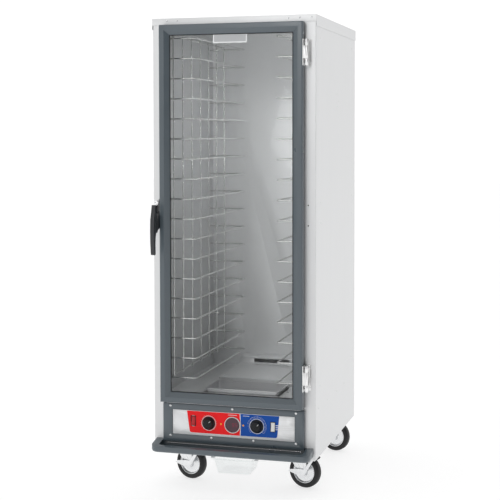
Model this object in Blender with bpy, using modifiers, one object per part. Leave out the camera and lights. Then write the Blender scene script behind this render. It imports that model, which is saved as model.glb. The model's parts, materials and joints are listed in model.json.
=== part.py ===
"""Full-height mobile proofing cabinet with a clear door and a heat and humidity module in its base.

Metres, +Z up. X runs from the latch side to the hinge side, the door faces -Y, and Z = 0 is the floor.
The origin is at floor level, at the centre of the whole object's footprint.
"""

import math

import bmesh
import bpy
from mathutils import Matrix, Vector

# ---------------------------------------------------------------- driving dimensions
WIDTH = 0.632  # over the side panels
DEPTH = 0.742  # over the front strips and the rear flanges
HEIGHT = 1.769  # floor to the top of the cap
SKIRT_Z = 0.128  # underside of the side panels
SHEET = 0.0016  # gauge of the aluminium sheet
GAP = 0.0004  # clearance left between pieces that touch
CAP_LIP = 0.0023  # how far the cap stands out past the sides
LEVER_REACH = 0.100  # front face of the cabinet to the front of the latch lever

HALF = WIDTH / 2
BODY_Y = (LEVER_REACH - CAP_LIP) / 2  # centres the footprint on the origin
FRONT = BODY_Y - DEPTH / 2
BACK = BODY_Y + DEPTH / 2

POST_INNER = 0.256  # half the width of the cavity's mouth
POST_LIP = 0.020
REAR_FLANGE_INNER = 0.293
CAP_FRONT = 0.026  # height of the cap's front and rear flanges
CAP_SIDE = 0.042  # height of its side flanges

DOOR_X = -0.0025  # centre of the door
DOOR_WIDTH = 0.553
DOOR_Z0 = 0.3200
DOOR_Z1 = 1.7426
DOOR_BACK = 0.008  # back of the door frame in front of the cabinet's face
DOOR_FACE = 0.040  # front of the door frame in front of the cabinet's face
RAIL_WIDTH = 0.038
RAIL_FLAT = 0.019  # width of the flat outer half of the rail's face
GLASS_BACK = 0.011  # above the back of the frame
GLASS_THICK = 0.004
GLASS_LAP = 0.0079  # how far the glass runs under the rails
GASKET_INSET = 0.004  # from the door's outline
GASKET_WIDTH = 0.012

PIN_X = 0.2875
PIN_OUT = 0.031  # hinge pin in front of the cabinet's face
KNUCKLE_R = 0.0062
HINGE_PIN_R = 0.003
HINGE_LENGTH = 0.0958
HINGE_CENTRES = {"upper": 1.6305, "lower": 0.4360}

LEVER_X = (-0.2940, -0.2792)  # sides of the latch lever, just outside the door's edge
LEVER_PIVOT_OUT = 0.053
LEVER_PIVOT_Z = 0.997

LEVELS = 18
LEVEL_PITCH = 0.0762
TOP_LEVEL_Z = 1.6965
SLIDE_X = 0.158  # long inner wire of a slide
SLIDE_FRONT = 0.038  # front leg of a slide, behind the cabinet's face
SLIDE_BACK = 0.699
SLIDE_R = 0.003
UPRIGHT_X = 0.250
UPRIGHT_R = 0.0025
UPRIGHTS = 7
WELD_OFFSET = 0.0034  # between the centres of two wires where they are welded
FIRST_UPRIGHT = SLIDE_FRONT + WELD_OFFSET
UPRIGHT_PITCH = (SLIDE_BACK - SLIDE_FRONT - 2 * WELD_OFFSET) / (UPRIGHTS - 1)
RACK_Z0 = 0.3995
RACK_Z1 = 1.712
TIE_Z = (0.409, 1.706)  # the two wires that tie the uprights together

FLOOR_Z = 0.3216  # top of the cavity floor
SILL_Z = 0.347
HEADER_Z = 1.7262  # underside of the channel above the cavity's mouth
PANEL_HALF = 0.2753
PANEL_Z0 = 0.1669
PANEL_Z1 = 0.3140
PANEL_OUT = 0.0195
LABEL_RECESS = 0.0022
LABEL_X = (-0.236, 0.240)
LABEL_Z = (0.197, 0.290)
CONTROL_Z = 0.2455

WATER_X = (-0.171, 0.131)
WATER_Y = (0.166, 0.336)  # behind the cabinet's face
WATER_Z = (0.276, 0.337)

CASTER_X = 0.226
CASTER_Y = 0.277  # from the body's middle
TRAIL = 0.031
SWIVEL_ANGLE = math.radians(-13.6)
WHEEL_R = 0.0625
WHEEL_WIDTH = 0.032
AXLE_R = 0.006
PLATE_Z = 0.1601

TROUGH_HALF = 0.307
TROUGH_OUT = 0.080
TROUGH_Z0 = 0.135


# ---------------------------------------------------------------- scene and materials
for old in list(bpy.data.objects):
    bpy.data.objects.remove(old)

parts = bpy.data.collections.new("proofing_cabinet")
cutters = bpy.data.collections.new("cutters")
bpy.context.scene.collection.children.link(parts)
bpy.context.scene.collection.children.link(cutters)

FINISHES = {
    "aluminium": ((0.74, 0.75, 0.76), 0.38, 1.0),
    "inner_aluminium": ((0.62, 0.63, 0.64), 0.34, 1.0),
    "steel": ((0.66, 0.66, 0.67), 0.30, 1.0),
    "zinc": ((0.78, 0.79, 0.80), 0.28, 1.0),
    "nickel_wire": ((0.80, 0.80, 0.80), 0.18, 1.0),
    "chrome": ((0.88, 0.88, 0.89), 0.08, 1.0),
    "grey_plastic": ((0.106, 0.133, 0.156), 0.45, 0.0),
    "dark_plastic": ((0.035, 0.038, 0.042), 0.42, 0.0),
    "label": ((0.56, 0.58, 0.58), 0.35, 0.3),
    "red_plastic": ((0.60, 0.02, 0.02), 0.35, 0.0),
    "white_plastic": ((0.80, 0.80, 0.78), 0.40, 0.0),
    "amber_lens": ((0.90, 0.42, 0.05), 0.20, 0.0),
    "display": ((0.08, 0.02, 0.03), 0.15, 0.0),
    "window": ((0.92, 0.95, 0.96), 0.05, 0.0),
    "clear_plastic": ((0.90, 0.93, 0.94), 0.10, 0.0),
    "rubber": ((0.03, 0.03, 0.03), 0.75, 0.0),
    "tyre_rubber": ((0.02, 0.02, 0.02), 0.65, 0.0),
    "element": ((0.20, 0.19, 0.18), 0.55, 1.0),
}


def material(finish):
    found = bpy.data.materials.get(finish)
    if found:
        return found
    colour, roughness, metallic = FINISHES[finish]
    made = bpy.data.materials.new(finish)
    made.use_nodes = True
    shader = made.node_tree.nodes["Principled BSDF"]
    shader.inputs["Base Color"].default_value = (*colour, 1.0)
    shader.inputs["Roughness"].default_value = roughness
    shader.inputs["Metallic"].default_value = metallic
    return made


# ---------------------------------------------------------------- object helpers
def add_object(name, mesh, finish, parent=None):
    """A node made of mesh, whose points are already in the object's frame."""
    made = bpy.data.objects.new(name, mesh)
    parts.objects.link(made)
    made.data.materials.clear()
    made.data.materials.append(material(finish))
    if parent:
        made.parent = parent
        made.matrix_parent_inverse = parent.matrix_world.inverted()
    return made


def add_helper(name, mesh):
    """A shape that only cuts or joins another one."""
    made = bpy.data.objects.new(name, mesh)
    cutters.objects.link(made)
    made.hide_render = True
    made.display_type = "WIRE"
    return made


def pivot(name, location, angle=0.0):
    """An empty on a joint's axis."""
    made = bpy.data.objects.new(name, None)
    parts.objects.link(made)
    made.location = location
    made.rotation_euler = (0.0, 0.0, angle)
    bpy.context.view_layer.update()
    return made


def boolean(target, operation, *meshes):
    """Cuts the meshes out of target, or joins them to it."""
    for index, mesh in enumerate(meshes):
        helper = add_helper(f"{target.name}_{operation.lower()}_{len(cutters.objects)}_{index}", mesh)
        modifier = target.modifiers.new(helper.name, "BOOLEAN")
        modifier.operation = operation
        modifier.object = helper
    return target


def cut(target, *meshes):
    return boolean(target, "DIFFERENCE", *meshes)


def join(target, *meshes):
    return boolean(target, "UNION", *meshes)


def bevel(target, width, segments=2, angle=40.0):
    modifier = target.modifiers.new("rounded edges", "BEVEL")
    modifier.width = width
    modifier.segments = segments
    modifier.limit_method = "ANGLE"
    modifier.angle_limit = math.radians(angle)
    return target


def evaluated_mesh(source):
    """The mesh that the object makes with its modifiers, in its own frame."""
    bpy.context.view_layer.update()
    graph = bpy.context.evaluated_depsgraph_get()
    return bpy.data.meshes.new_from_object(source.evaluated_get(graph))


def smooth(mesh, angle=35.0):
    mesh.shade_smooth()
    mesh.set_sharp_from_angle(angle=math.radians(angle))
    return mesh


# ---------------------------------------------------------------- shape helpers, each giving a mesh
AXES = {
    "X": Matrix(((0, 0, 1, 0), (1, 0, 0, 0), (0, 1, 0, 0), (0, 0, 0, 1))),
    "Y": Matrix(((0, 1, 0, 0), (0, 0, 1, 0), (1, 0, 0, 0), (0, 0, 0, 1))),
    "Z": Matrix.Identity(4),
}


def finish_bmesh(bm, name):
    mesh = bpy.data.meshes.new(name)
    bm.to_mesh(mesh)
    bm.free()
    return mesh


def box(low, high):
    """A block between two corners."""
    bm = bmesh.new()
    bmesh.ops.create_cube(bm, size=1.0)
    size = [b - a for a, b in zip(low, high)]
    centre = [(a + b) / 2 for a, b in zip(low, high)]
    bmesh.ops.scale(bm, vec=size, verts=bm.verts)
    bmesh.ops.translate(bm, vec=centre, verts=bm.verts)
    return finish_bmesh(bm, "block")


def rod(axis, centre, start, end, radius, segments=16, end_radius=None):
    """A cylinder along an axis. centre holds its other two coordinates, in cyclic order after the axis."""
    bm = bmesh.new()
    bmesh.ops.create_cone(
        bm,
        cap_ends=True,
        segments=segments,
        radius1=radius,
        radius2=radius if end_radius is None else end_radius,
        depth=end - start,
        matrix=AXES[axis] @ Matrix.Translation((centre[0], centre[1], (start + end) / 2)),
    )
    return smooth(finish_bmesh(bm, "rod"))


def prism(axis, outline, start, end):
    """A flat outline, in the two coordinates that follow the axis, drawn out along the axis."""
    curve = bpy.data.curves.new("outline", "CURVE")
    curve.dimensions = "2D"
    curve.fill_mode = "BOTH"
    curve.extrude = (end - start) / 2
    spline = curve.splines.new("POLY")
    spline.points.add(len(outline) - 1)
    for point, (a, b) in zip(spline.points, outline):
        point.co = (a, b, 0.0, 1.0)
    spline.use_cyclic_u = True
    drawn = bpy.data.objects.new("outline", curve)
    cutters.objects.link(drawn)
    mesh = evaluated_mesh(drawn)
    bpy.data.objects.remove(drawn)
    bpy.data.curves.remove(curve)
    bm = bmesh.new()
    bm.from_mesh(mesh)
    bmesh.ops.remove_doubles(bm, verts=bm.verts, dist=1e-5)
    bmesh.ops.recalc_face_normals(bm, faces=bm.faces)
    bmesh.ops.transform(bm, matrix=AXES[axis] @ Matrix.Translation((0, 0, (start + end) / 2)), verts=bm.verts)
    bm.to_mesh(mesh)
    bm.free()
    mesh.materials.clear()
    return mesh


def tube(points, radius, resolution=1):
    """A round wire along the points, with closed ends."""
    curve = bpy.data.curves.new("wire", "CURVE")
    curve.dimensions = "3D"
    curve.bevel_depth = radius
    curve.bevel_resolution = resolution
    curve.use_fill_caps = True
    spline = curve.splines.new("POLY")
    spline.points.add(len(points) - 1)
    for point, place in zip(spline.points, points):
        point.co = (*place, 1.0)
    drawn = bpy.data.objects.new("wire", curve)
    cutters.objects.link(drawn)
    mesh = evaluated_mesh(drawn)
    bpy.data.objects.remove(drawn)
    bpy.data.curves.remove(curve)
    bm = bmesh.new()
    bm.from_mesh(mesh)
    bmesh.ops.remove_doubles(bm, verts=bm.verts, dist=1e-5)
    bmesh.ops.recalc_face_normals(bm, faces=bm.faces)
    bm.to_mesh(mesh)
    bm.free()
    mesh.materials.clear()
    return smooth(mesh)


def turned(profile, steps=24):
    """A shape turned about Z. The profile runs down its outer side as (radius, height); a ring's is closed."""
    closed = min(radius for radius, _ in profile) > 0
    bm = bmesh.new()
    points = [bm.verts.new((radius, 0.0, height)) for radius, height in profile]
    ends = zip(points, points[1:] + points[:1]) if closed else zip(points, points[1:])
    for first, second in ends:
        bm.edges.new((first, second))
    spun = bpy.data.objects.new("turned", finish_bmesh(bm, "turned"))
    cutters.objects.link(spun)
    screw = spun.modifiers.new("turn", "SCREW")
    screw.steps = steps
    screw.render_steps = steps
    screw.use_merge_vertices = True
    screw.merge_threshold = 0.00001
    mesh = evaluated_mesh(spun)
    bpy.data.objects.remove(spun)
    return smooth(mesh)


def moved(mesh, matrix):
    mesh.transform(matrix)
    return mesh


def folded_sheet(axis, path, start, end, gauge=SHEET):
    """Sheet folded along a path, drawn out along the axis. Its gauge lies on the left of the path."""
    bm = bmesh.new()
    points = [bm.verts.new((a, b, start)) for a, b in path]
    edges = [bm.edges.new(pair) for pair in zip(points, points[1:])]
    drawn = bmesh.ops.extrude_edge_only(bm, edges=edges)
    new_points = [item for item in drawn["geom"] if isinstance(item, bmesh.types.BMVert)]
    bmesh.ops.translate(bm, vec=(0, 0, end - start), verts=new_points)
    bm.normal_update()
    (ax, ay), (bx, by) = path[0], path[1]
    right_of_path = Vector((by - ay, ax - bx, 0.0))
    first_face = points[0].link_faces[0]
    if first_face.normal.dot(right_of_path) < 0:
        bmesh.ops.reverse_faces(bm, faces=bm.faces)
    bmesh.ops.transform(bm, matrix=AXES[axis], verts=bm.verts)
    sheet = bpy.data.objects.new("sheet", finish_bmesh(bm, "sheet"))
    cutters.objects.link(sheet)
    thick = sheet.modifiers.new("gauge", "SOLIDIFY")
    thick.thickness = gauge
    thick.offset = -1.0
    thick.use_even_offset = True
    mesh = evaluated_mesh(sheet)
    bpy.data.objects.remove(sheet)
    return mesh


def tray(low, high, gauge, taper=0.0):
    """An open-topped sheet box, whose floor is smaller than its mouth by taper on each side."""
    bm = bmesh.new()
    bmesh.ops.create_cube(bm, size=1.0)
    for vert in bm.verts:
        at_top = vert.co.z > 0
        inset = 0.0 if at_top else taper
        for i in range(2):
            outer = low[i] + inset if vert.co[i] < 0 else high[i] - inset
            vert.co[i] = outer
        vert.co.z = high[2] if at_top else low[2]
    top = max(bm.faces, key=lambda face: face.calc_center_median().z)
    bmesh.ops.delete(bm, geom=[top], context="FACES_ONLY")
    shell = bpy.data.objects.new("tray", finish_bmesh(bm, "tray"))
    cutters.objects.link(shell)
    thick = shell.modifiers.new("gauge", "SOLIDIFY")
    thick.thickness = gauge
    thick.offset = -1.0
    thick.use_even_offset = True
    mesh = evaluated_mesh(shell)
    bpy.data.objects.remove(shell)
    return mesh


def rounded_rectangle(low, high, radius, steps=4):
    """Anticlockwise outline with round corners."""
    corners = [
        (high[0] - radius, high[1] - radius, 0.0),
        (low[0] + radius, high[1] - radius, 90.0),
        (low[0] + radius, low[1] + radius, 180.0),
        (high[0] - radius, low[1] + radius, 270.0),
    ]
    outline = []
    for cx, cy, first in corners:
        for i in range(steps + 1):
            angle = math.radians(first + 90.0 * i / steps)
            outline.append((cx + radius * math.cos(angle), cy + radius * math.sin(angle)))
    return outline


# ---------------------------------------------------------------- cabinet shell
def side_panel(name, side):
    """One folded sheet: rear flange, side, front strip and the strip's inner lip."""
    path = [
        (side * REAR_FLANGE_INNER, BACK),
        (side * HALF, BACK),
        (side * HALF, FRONT),
        (side * POST_INNER, FRONT),
        (side * POST_INNER, FRONT + POST_LIP),
    ]
    if side > 0:
        path.reverse()
    add_object(name, folded_sheet("Z", path, SKIRT_Z, HEIGHT - SHEET - GAP), "aluminium")


def rear_panel():
    y1 = BACK - SHEET - GAP
    y0 = y1 - SHEET
    half = HALF - SHEET - GAP
    panel = add_object(
        "rear_panel", box((-half, y0, SKIRT_Z + 0.004), (half, y1, HEIGHT - SHEET - GAP)), "aluminium"
    )
    vents = []
    for column in (-0.110, 0.110):
        for row in range(4):
            z = 0.205 + 0.020 * row
            vents.append(box((column - 0.045, y0 - 0.01, z), (column + 0.045, y1 + 0.01, z + 0.006)))
    inlet = box((-0.0145, y0 - 0.01, 0.2205), (0.0145, y1 + 0.01, 0.2455))
    cut(panel, *vents, inlet)


def top_panel():
    """A cap: its front and rear flanges are shorter than those that overlap the sides."""
    half = HALF + CAP_LIP
    bm = bmesh.new()
    bmesh.ops.create_cube(bm, size=1.0)
    bmesh.ops.scale(bm, vec=(2 * half, DEPTH + 2 * CAP_LIP, CAP_FRONT), verts=bm.verts)
    bmesh.ops.translate(bm, vec=(0, BODY_Y, HEIGHT - CAP_FRONT / 2), verts=bm.verts)
    under = min(bm.faces, key=lambda face: face.calc_center_median().z)
    side_edges = [edge for edge in under.edges if abs(edge.verts[0].co.x - edge.verts[1].co.x) < 1e-6]
    bmesh.ops.delete(bm, geom=[under], context="FACES_ONLY")
    longer = bmesh.ops.extrude_edge_only(bm, edges=side_edges)
    low_points = [item for item in longer["geom"] if isinstance(item, bmesh.types.BMVert)]
    bmesh.ops.translate(bm, vec=(0, 0, CAP_FRONT - CAP_SIDE), verts=low_points)
    bmesh.ops.recalc_face_normals(bm, faces=bm.faces)
    cap = add_object("top_panel", finish_bmesh(bm, "cap"), "aluminium")
    thick = cap.modifiers.new("gauge", "SOLIDIFY")
    thick.thickness = SHEET
    thick.offset = -1.0
    thick.use_even_offset = True


def header_channel():
    top = HEIGHT - SHEET - 2 * GAP
    path = [(FRONT + 0.030, top), (FRONT, top), (FRONT, HEADER_Z), (FRONT + 0.030, HEADER_Z)]
    half = POST_INNER - GAP
    add_object("header_channel", folded_sheet("X", path, -half, half), "aluminium")


def cavity_floor():
    """Deck over the module, with a raised sill behind the foot of the door and a well for the water pan."""
    half = HALF - SHEET - GAP
    path = [
        (BACK - 2 * SHEET - 3 * GAP, FLOOR_Z),
        (FRONT + 0.015, FLOOR_Z),
        (FRONT + 0.015, SILL_Z),
        (FRONT, SILL_Z),
        (FRONT, 0.295),
    ]
    deck = add_object("cavity_floor", folded_sheet("X", path, -half, half), "inner_aluminium")
    inner = POST_INNER - GAP
    lip = FRONT + POST_LIP + 0.002
    left_corner = box((-HALF - 0.01, FRONT - 0.01, 0.28), (-inner, lip, 0.36))
    right_corner = box((inner, FRONT - 0.01, 0.28), (HALF + 0.01, lip, 0.36))
    well = box(
        (WATER_X[0] - 0.003, FRONT + WATER_Y[0] - 0.003, 0.30),
        (WATER_X[1] + 0.003, FRONT + WATER_Y[1] + 0.003, 0.34),
    )
    cut(deck, left_corner, right_corner, well)


def chassis_rail(name, side):
    """Channel between the module and the side panel, which the casters are bolted to."""
    inner = side * 0.187
    outer = side * (HALF - SHEET - GAP)
    low = PLATE_Z + GAP
    path = [(0.190, outer), (low, outer), (low, inner), (0.190, inner)]
    if side < 0:
        path.reverse()
    add_object(
        name,
        folded_sheet("Y", path, FRONT + POST_LIP + 0.002, BACK - 0.005, 0.0025),
        "steel",
    )


def air_duct():
    """Low cover on the cavity floor that turns up the rear wall, with an outlet in its upright face."""
    low = FLOOR_Z + GAP
    y0, y1, y2 = FRONT + 0.351, FRONT + 0.660, BACK - 2 * SHEET - 3 * GAP
    top, high, gauge = 0.3455, 0.374, 0.0012
    outer = [(y0, low), (y2, low), (y2, high), (y1, high), (y1, top), (y0, top)]
    inner = [
        (y0 + gauge, low - 0.01),
        (y2 - gauge, low - 0.01),
        (y2 - gauge, high - gauge),
        (y1 + gauge, high - gauge),
        (y1 + gauge, top - gauge),
        (y0 + gauge, top - gauge),
    ]
    duct = add_object("air_duct", prism("X", outer, -0.170, 0.170), "inner_aluminium")
    cut(
        duct,
        prism("X", inner, -0.170 + gauge, 0.170 - gauge),
        box((-0.105, y1 - 0.01, 0.352), (0.050, y1 + 0.01, 0.368)),
    )


# ---------------------------------------------------------------- wire racks
def slide_points(side, z):
    """A U-shaped wire whose legs run past the first and last uprights and rest against the side panel."""
    front, back = FRONT + SLIDE_FRONT, FRONT + SLIDE_BACK
    inner = side * SLIDE_X
    wall = side * (HALF - SHEET - GAP)
    return [(wall, front, z), (inner, front, z), (inner, back, z), (wall, back, z)]


def tie_points(side, z):
    """A straight wire along the outside of the uprights."""
    outer = side * (UPRIGHT_X + WELD_OFFSET)
    reach = 2 * UPRIGHT_R
    first = FRONT + FIRST_UPRIGHT - reach
    last = FRONT + SLIDE_BACK - WELD_OFFSET + reach
    return [(outer, first, z), (outer, last, z)]


def wire_rack(name, side):
    """Uprights, slides and ties welded into one piece."""
    wires = bpy.data.collections.new(f"{name}_wires")
    cutters.children.link(wires)
    wires.hide_render = True
    shapes = []
    for index in range(UPRIGHTS):
        y = FRONT + FIRST_UPRIGHT + index * UPRIGHT_PITCH
        shapes.append(rod("Z", (side * UPRIGHT_X, y), RACK_Z0, RACK_Z1, UPRIGHT_R, 6))
    for level in range(LEVELS):
        shapes.append(tube(slide_points(side, TOP_LEVEL_Z - level * LEVEL_PITCH), SLIDE_R))
    lower_tie, upper_tie = [tube(tie_points(side, z), UPRIGHT_R) for z in TIE_Z]
    shapes.append(upper_tie)
    rack = add_object(name, lower_tie, "nickel_wire")
    for index, shape in enumerate(shapes):
        helper = add_helper(f"{name}_wire_{index}", shape)
        cutters.objects.unlink(helper)
        wires.objects.link(helper)
    weld = rack.modifiers.new("welds", "BOOLEAN")
    weld.operation = "UNION"
    weld.operand_type = "COLLECTION"
    weld.collection = wires


# ---------------------------------------------------------------- heat and humidity module
def module_housing():
    low = (-0.183, FRONT + 0.003, 0.168)
    high = (0.183, FRONT + 0.560, 0.316)
    housing = add_object("module_housing", tray(low, high, 0.0015), "steel")
    cut(housing, box((-0.150, FRONT - 0.01, 0.200), (0.150, FRONT + 0.02, 0.290)))


def control_panel():
    """Moulded frame around the label, with openings for the shafts and the rocker switches."""
    face = FRONT - PANEL_OUT
    block = box((-PANEL_HALF, face, PANEL_Z0), (PANEL_HALF, FRONT - GAP, PANEL_Z1))
    panel = add_object("control_panel", block, "grey_plastic")
    bevel(panel, 0.003)
    recess = box((-0.238, face - 0.01, 0.195), (0.242, face + LABEL_RECESS, 0.292))
    cut(panel, recess, *panel_openings(0.0005))
    y1 = face + LABEL_RECESS - GAP
    plate = add_object(
        "label_plate", box((LABEL_X[0], y1 - 0.0009, LABEL_Z[0]), (LABEL_X[1], y1, LABEL_Z[1])), "label"
    )
    cut(plate, *panel_openings(0.0))


def panel_openings(extra):
    """Cutters for the two knob shafts and the two rocker switches."""
    y0, y1 = FRONT - PANEL_OUT - 0.02, FRONT + 0.02
    shafts = [rod("Y", (CONTROL_Z, x), y0, y1, 0.0038 + extra, 12) for x in KNOBS.values()]
    wells = [
        box((x - w / 2 - extra, y0, z - h / 2 - extra), (x + w / 2 + extra, y1, z + h / 2 + extra))
        for x, z, w, h in ((x, z, w + 0.0012, h + 0.0012) for x, z, w, h, _ in ROCKERS.values())
    ]
    return shafts + wells


KNOBS = {"thermostat_knob": -0.093, "humidity_knob": 0.095}
ROCKERS = {
    "power_rocker": (-0.154, 0.2505, 0.0155, 0.0340, "red_plastic"),
    "mode_rocker": (0.157, 0.2465, 0.0150, 0.0340, "white_plastic"),
}


def knob(name, x):
    """Skirted knob on its shaft, turned about Y, with a raised grip bar across its face."""
    label_face = FRONT - PANEL_OUT + LABEL_RECESS - GAP - 0.0009
    profile = [
        (0.0, 0.0185),
        (0.0170, 0.0185),
        (0.0190, 0.0165),
        (0.0205, 0.0060),
        (0.0255, 0.0035),
        (0.0255, 0.0006),
        (0.0030, 0.0006),
        (0.0030, -0.0130),
        (0.0, -0.0130),
    ]
    centre = (x, label_face, CONTROL_Z)
    stand = pivot(f"{name}_axis", centre)
    mesh = moved(turned(profile, 20), Matrix.Translation(centre) @ Matrix.Rotation(math.radians(90), 4, "X"))
    made = add_object(name, mesh, "dark_plastic", stand)
    tilt = Matrix.Translation(centre) @ Matrix.Rotation(math.radians(45), 4, "Y")
    join(made, moved(box((-0.0032, -0.0205, -0.0168), (0.0032, -0.0150, 0.0168)), tilt))


def rocker(name, x, z, width, height, finish):
    """Rocker button in its rest position, tipped to one side about its X axis."""
    y = FRONT - PANEL_OUT + LABEL_RECESS
    half = height / 2
    face = [(-0.0035, -half + 0.0006), (-0.0010, 0.0), (-0.0035, half - 0.0006)]
    outline = [(0.0035, half - 0.0016), (0.0080, 0.0030), (0.0080, -0.0030), (0.0035, -half + 0.0016)]
    stand = pivot(f"{name}_axis", (x, y + 0.002, z))
    tip = Matrix.Translation((x, y + 0.002, z)) @ Matrix.Rotation(math.radians(-7), 4, "X")
    shape = [(a - 0.002, b) for a, b in face + outline]
    mesh = moved(prism("X", shape, -width / 2, width / 2), tip)
    add_object(name, mesh, finish, stand)


def indicators():
    label_face = FRONT - PANEL_OUT + LABEL_RECESS - GAP - 0.0009
    turn = Matrix.Rotation(math.radians(90), 4, "X")
    for name, x in (("heating_light", -0.044), ("humidity_light", 0.043)):
        dome = turned([(0.0, 0.0032), (0.0020, 0.0028), (0.0034, 0.0012), (0.0034, 0.0), (0.0, 0.0)], 16)
        place = Matrix.Translation((x, label_face - GAP, CONTROL_Z))
        add_object(name, moved(dome, place @ turn), "amber_lens")
    bezel = [
        (0.0, 0.0030),
        (0.0265, 0.0030),
        (0.0275, 0.0052),
        (0.0300, 0.0048),
        (0.0310, 0.0025),
        (0.0310, 0.0),
        (0.0, 0.0),
    ]
    place = Matrix.Translation((0.001, label_face - GAP, CONTROL_Z - 0.0005))
    add_object("thermometer", moved(turned(bezel, 24), place @ turn), "display")


def water_pan():
    stand = pivot("water_pan_axis", (sum(WATER_X) / 2, FRONT + sum(WATER_Y) / 2, WATER_Z[0]))
    low = (WATER_X[0], FRONT + WATER_Y[0], WATER_Z[0])
    high = (WATER_X[1], FRONT + WATER_Y[1], WATER_Z[1])
    add_object("water_pan", tray(low, high, 0.0012, 0.004), "steel", stand)


def heating_element():
    """Tubular heater in a double loop under the water pan."""
    z, radius = 0.256, 0.004
    y0, y1 = FRONT + 0.190, FRONT + 0.320
    turns = [(-0.120, y1 + 0.060), (-0.120, y0), (-0.040, y0), (-0.040, y1), (0.040, y1), (0.040, y0)]
    turns += [(0.100, y0), (0.100, y1 + 0.060)]
    points = []
    for index, (x, y) in enumerate(turns):
        if index in (0, len(turns) - 1):
            points.append((x, y, z))
            continue
        corner = Vector((x, y))
        before = (Vector(turns[index - 1]) - corner).normalized() * 0.018
        after = (Vector(turns[index + 1]) - corner).normalized() * 0.018
        points.append((*(corner + before), z))
        points.append((*(corner + (before + after) * 0.3), z))
        points.append((*(corner + after), z))
    add_object("heating_element", tube(points, radius), "element")


def blower():
    """Centrifugal blower behind the heater, on an upright shaft."""
    cx, cy = 0.0, FRONT + 0.470
    z0, z1 = 0.2000, 0.2500
    casing = rounded_rectangle((cx - 0.066, cy - 0.066), (cx + 0.066, cy + 0.070), 0.030, 4)
    housing = add_object("blower_housing", prism("Z", casing, z0, z1), "steel")
    cut(
        housing,
        rod("Z", (cx, cy), z0 + 0.002, z1 + 0.01, 0.056, 28),
        box((cx + 0.012, cy, z0 + 0.004), (cx + 0.054, cy + 0.09, z1 - 0.006)),
    )
    stand = pivot("blower_axis", (cx, cy, z0))
    blades = 8
    outline = []
    for index in range(blades):
        first = math.radians(360 / blades * index)
        last = first + math.radians(9)
        root = first + math.radians(30)
        outline.append((cx + 0.050 * math.cos(first), cy + 0.050 * math.sin(first)))
        outline.append((cx + 0.050 * math.cos(last - 0.12), cy + 0.050 * math.sin(last - 0.12)))
        outline.append((cx + 0.014 * math.cos(last), cy + 0.014 * math.sin(last)))
        outline.append((cx + 0.014 * math.cos(root), cy + 0.014 * math.sin(root)))
    wheel = add_object("blower_wheel", prism("Z", outline, z0 + 0.0050, z1 - 0.006), "dark_plastic", stand)
    join(wheel, rod("Z", (cx, cy), z0 + 0.0030, z0 + 0.0060, 0.051, 24))


def power_inlet():
    """Flanged appliance inlet set in the rear panel."""
    y1 = BACK - SHEET - GAP
    body = box((-0.0135, y1 - 0.022, 0.2215), (0.0135, y1 + 0.002, 0.2445))
    inlet = add_object("power_inlet", body, "dark_plastic")
    join(inlet, box((-0.0240, y1 + GAP, 0.2165), (0.0240, y1 + 0.0034, 0.2495)))
    cut(inlet, box((-0.0105, y1 - 0.016, 0.2245), (0.0105, y1 + 0.010, 0.2415)))


# ---------------------------------------------------------------- door
def door_rail(name, along, start, end, edge, inward, stand):
    """Mitred rail along an axis, from start to end. Its outer side is at edge, and inward is +1 or -1."""
    depth = DOOR_FACE - DOOR_BACK
    glass = GLASS_BACK + GLASS_THICK + GAP
    profile = [
        (0.0, 0.0),
        (RAIL_WIDTH - GLASS_LAP, 0.0),
        (RAIL_WIDTH - GLASS_LAP, glass),
        (RAIL_WIDTH, glass),
        (RAIL_WIDTH, glass + 0.003),
        (RAIL_FLAT, depth),
        (0.0, depth),
    ]
    mesh = prism("Z", profile, start, end)
    middle = (start + end) / 2
    seam = GAP / 2
    for vert in mesh.vertices:
        across, out, length = vert.co
        if length < middle:
            length = start + across + seam
        else:
            length = end - across - seam
        sideways = edge + inward * across
        y = FRONT - DOOR_BACK - out
        vert.co = (sideways, y, length) if along == "Z" else (length, y, sideways)
    bm = bmesh.new()
    bm.from_mesh(mesh)
    bmesh.ops.recalc_face_normals(bm, faces=bm.faces)
    bm.to_mesh(mesh)
    bm.free()
    return add_object(name, mesh, "grey_plastic", stand)


def door_gasket(x0, x1, stand):
    """A flat rectangular ring between the door's frame and the cabinet."""
    y0, y1 = FRONT - DOOR_BACK + GAP, FRONT - GAP
    near, far = GASKET_INSET, GASKET_INSET + GASKET_WIDTH
    outer = box((x0 + near, y0, DOOR_Z0 + near), (x1 - near, y1, DOOR_Z1 - near))
    ring = add_object("door_gasket", outer, "rubber", stand)
    cut(ring, box((x0 + far, y0 - 0.01, DOOR_Z0 + far), (x1 - far, y1 + 0.01, DOOR_Z1 - far)))


def door():
    stand = pivot("door_axis", (PIN_X, FRONT - PIN_OUT, DOOR_Z0))
    x0, x1 = DOOR_X - DOOR_WIDTH / 2, DOOR_X + DOOR_WIDTH / 2
    door_rail("door_left_stile", "Z", DOOR_Z0, DOOR_Z1, x0, 1, stand)
    door_rail("door_right_stile", "Z", DOOR_Z0, DOOR_Z1, x1, -1, stand)
    door_rail("door_bottom_rail", "X", x0, x1, DOOR_Z0, 1, stand)
    door_rail("door_top_rail", "X", x0, x1, DOOR_Z1, -1, stand)
    inset = RAIL_WIDTH - GLASS_LAP + GAP
    y1 = FRONT - DOOR_BACK - GLASS_BACK
    window = box((x0 + inset, y1 - GLASS_THICK, DOOR_Z0 + inset), (x1 - inset, y1, DOOR_Z1 - inset))
    add_object("door_window", window, "window", stand)
    door_gasket(x0, x1, stand)
    for name, centre in HINGE_CENTRES.items():
        hinge(name, centre, x1, stand)
    latch(x0, stand)


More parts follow.
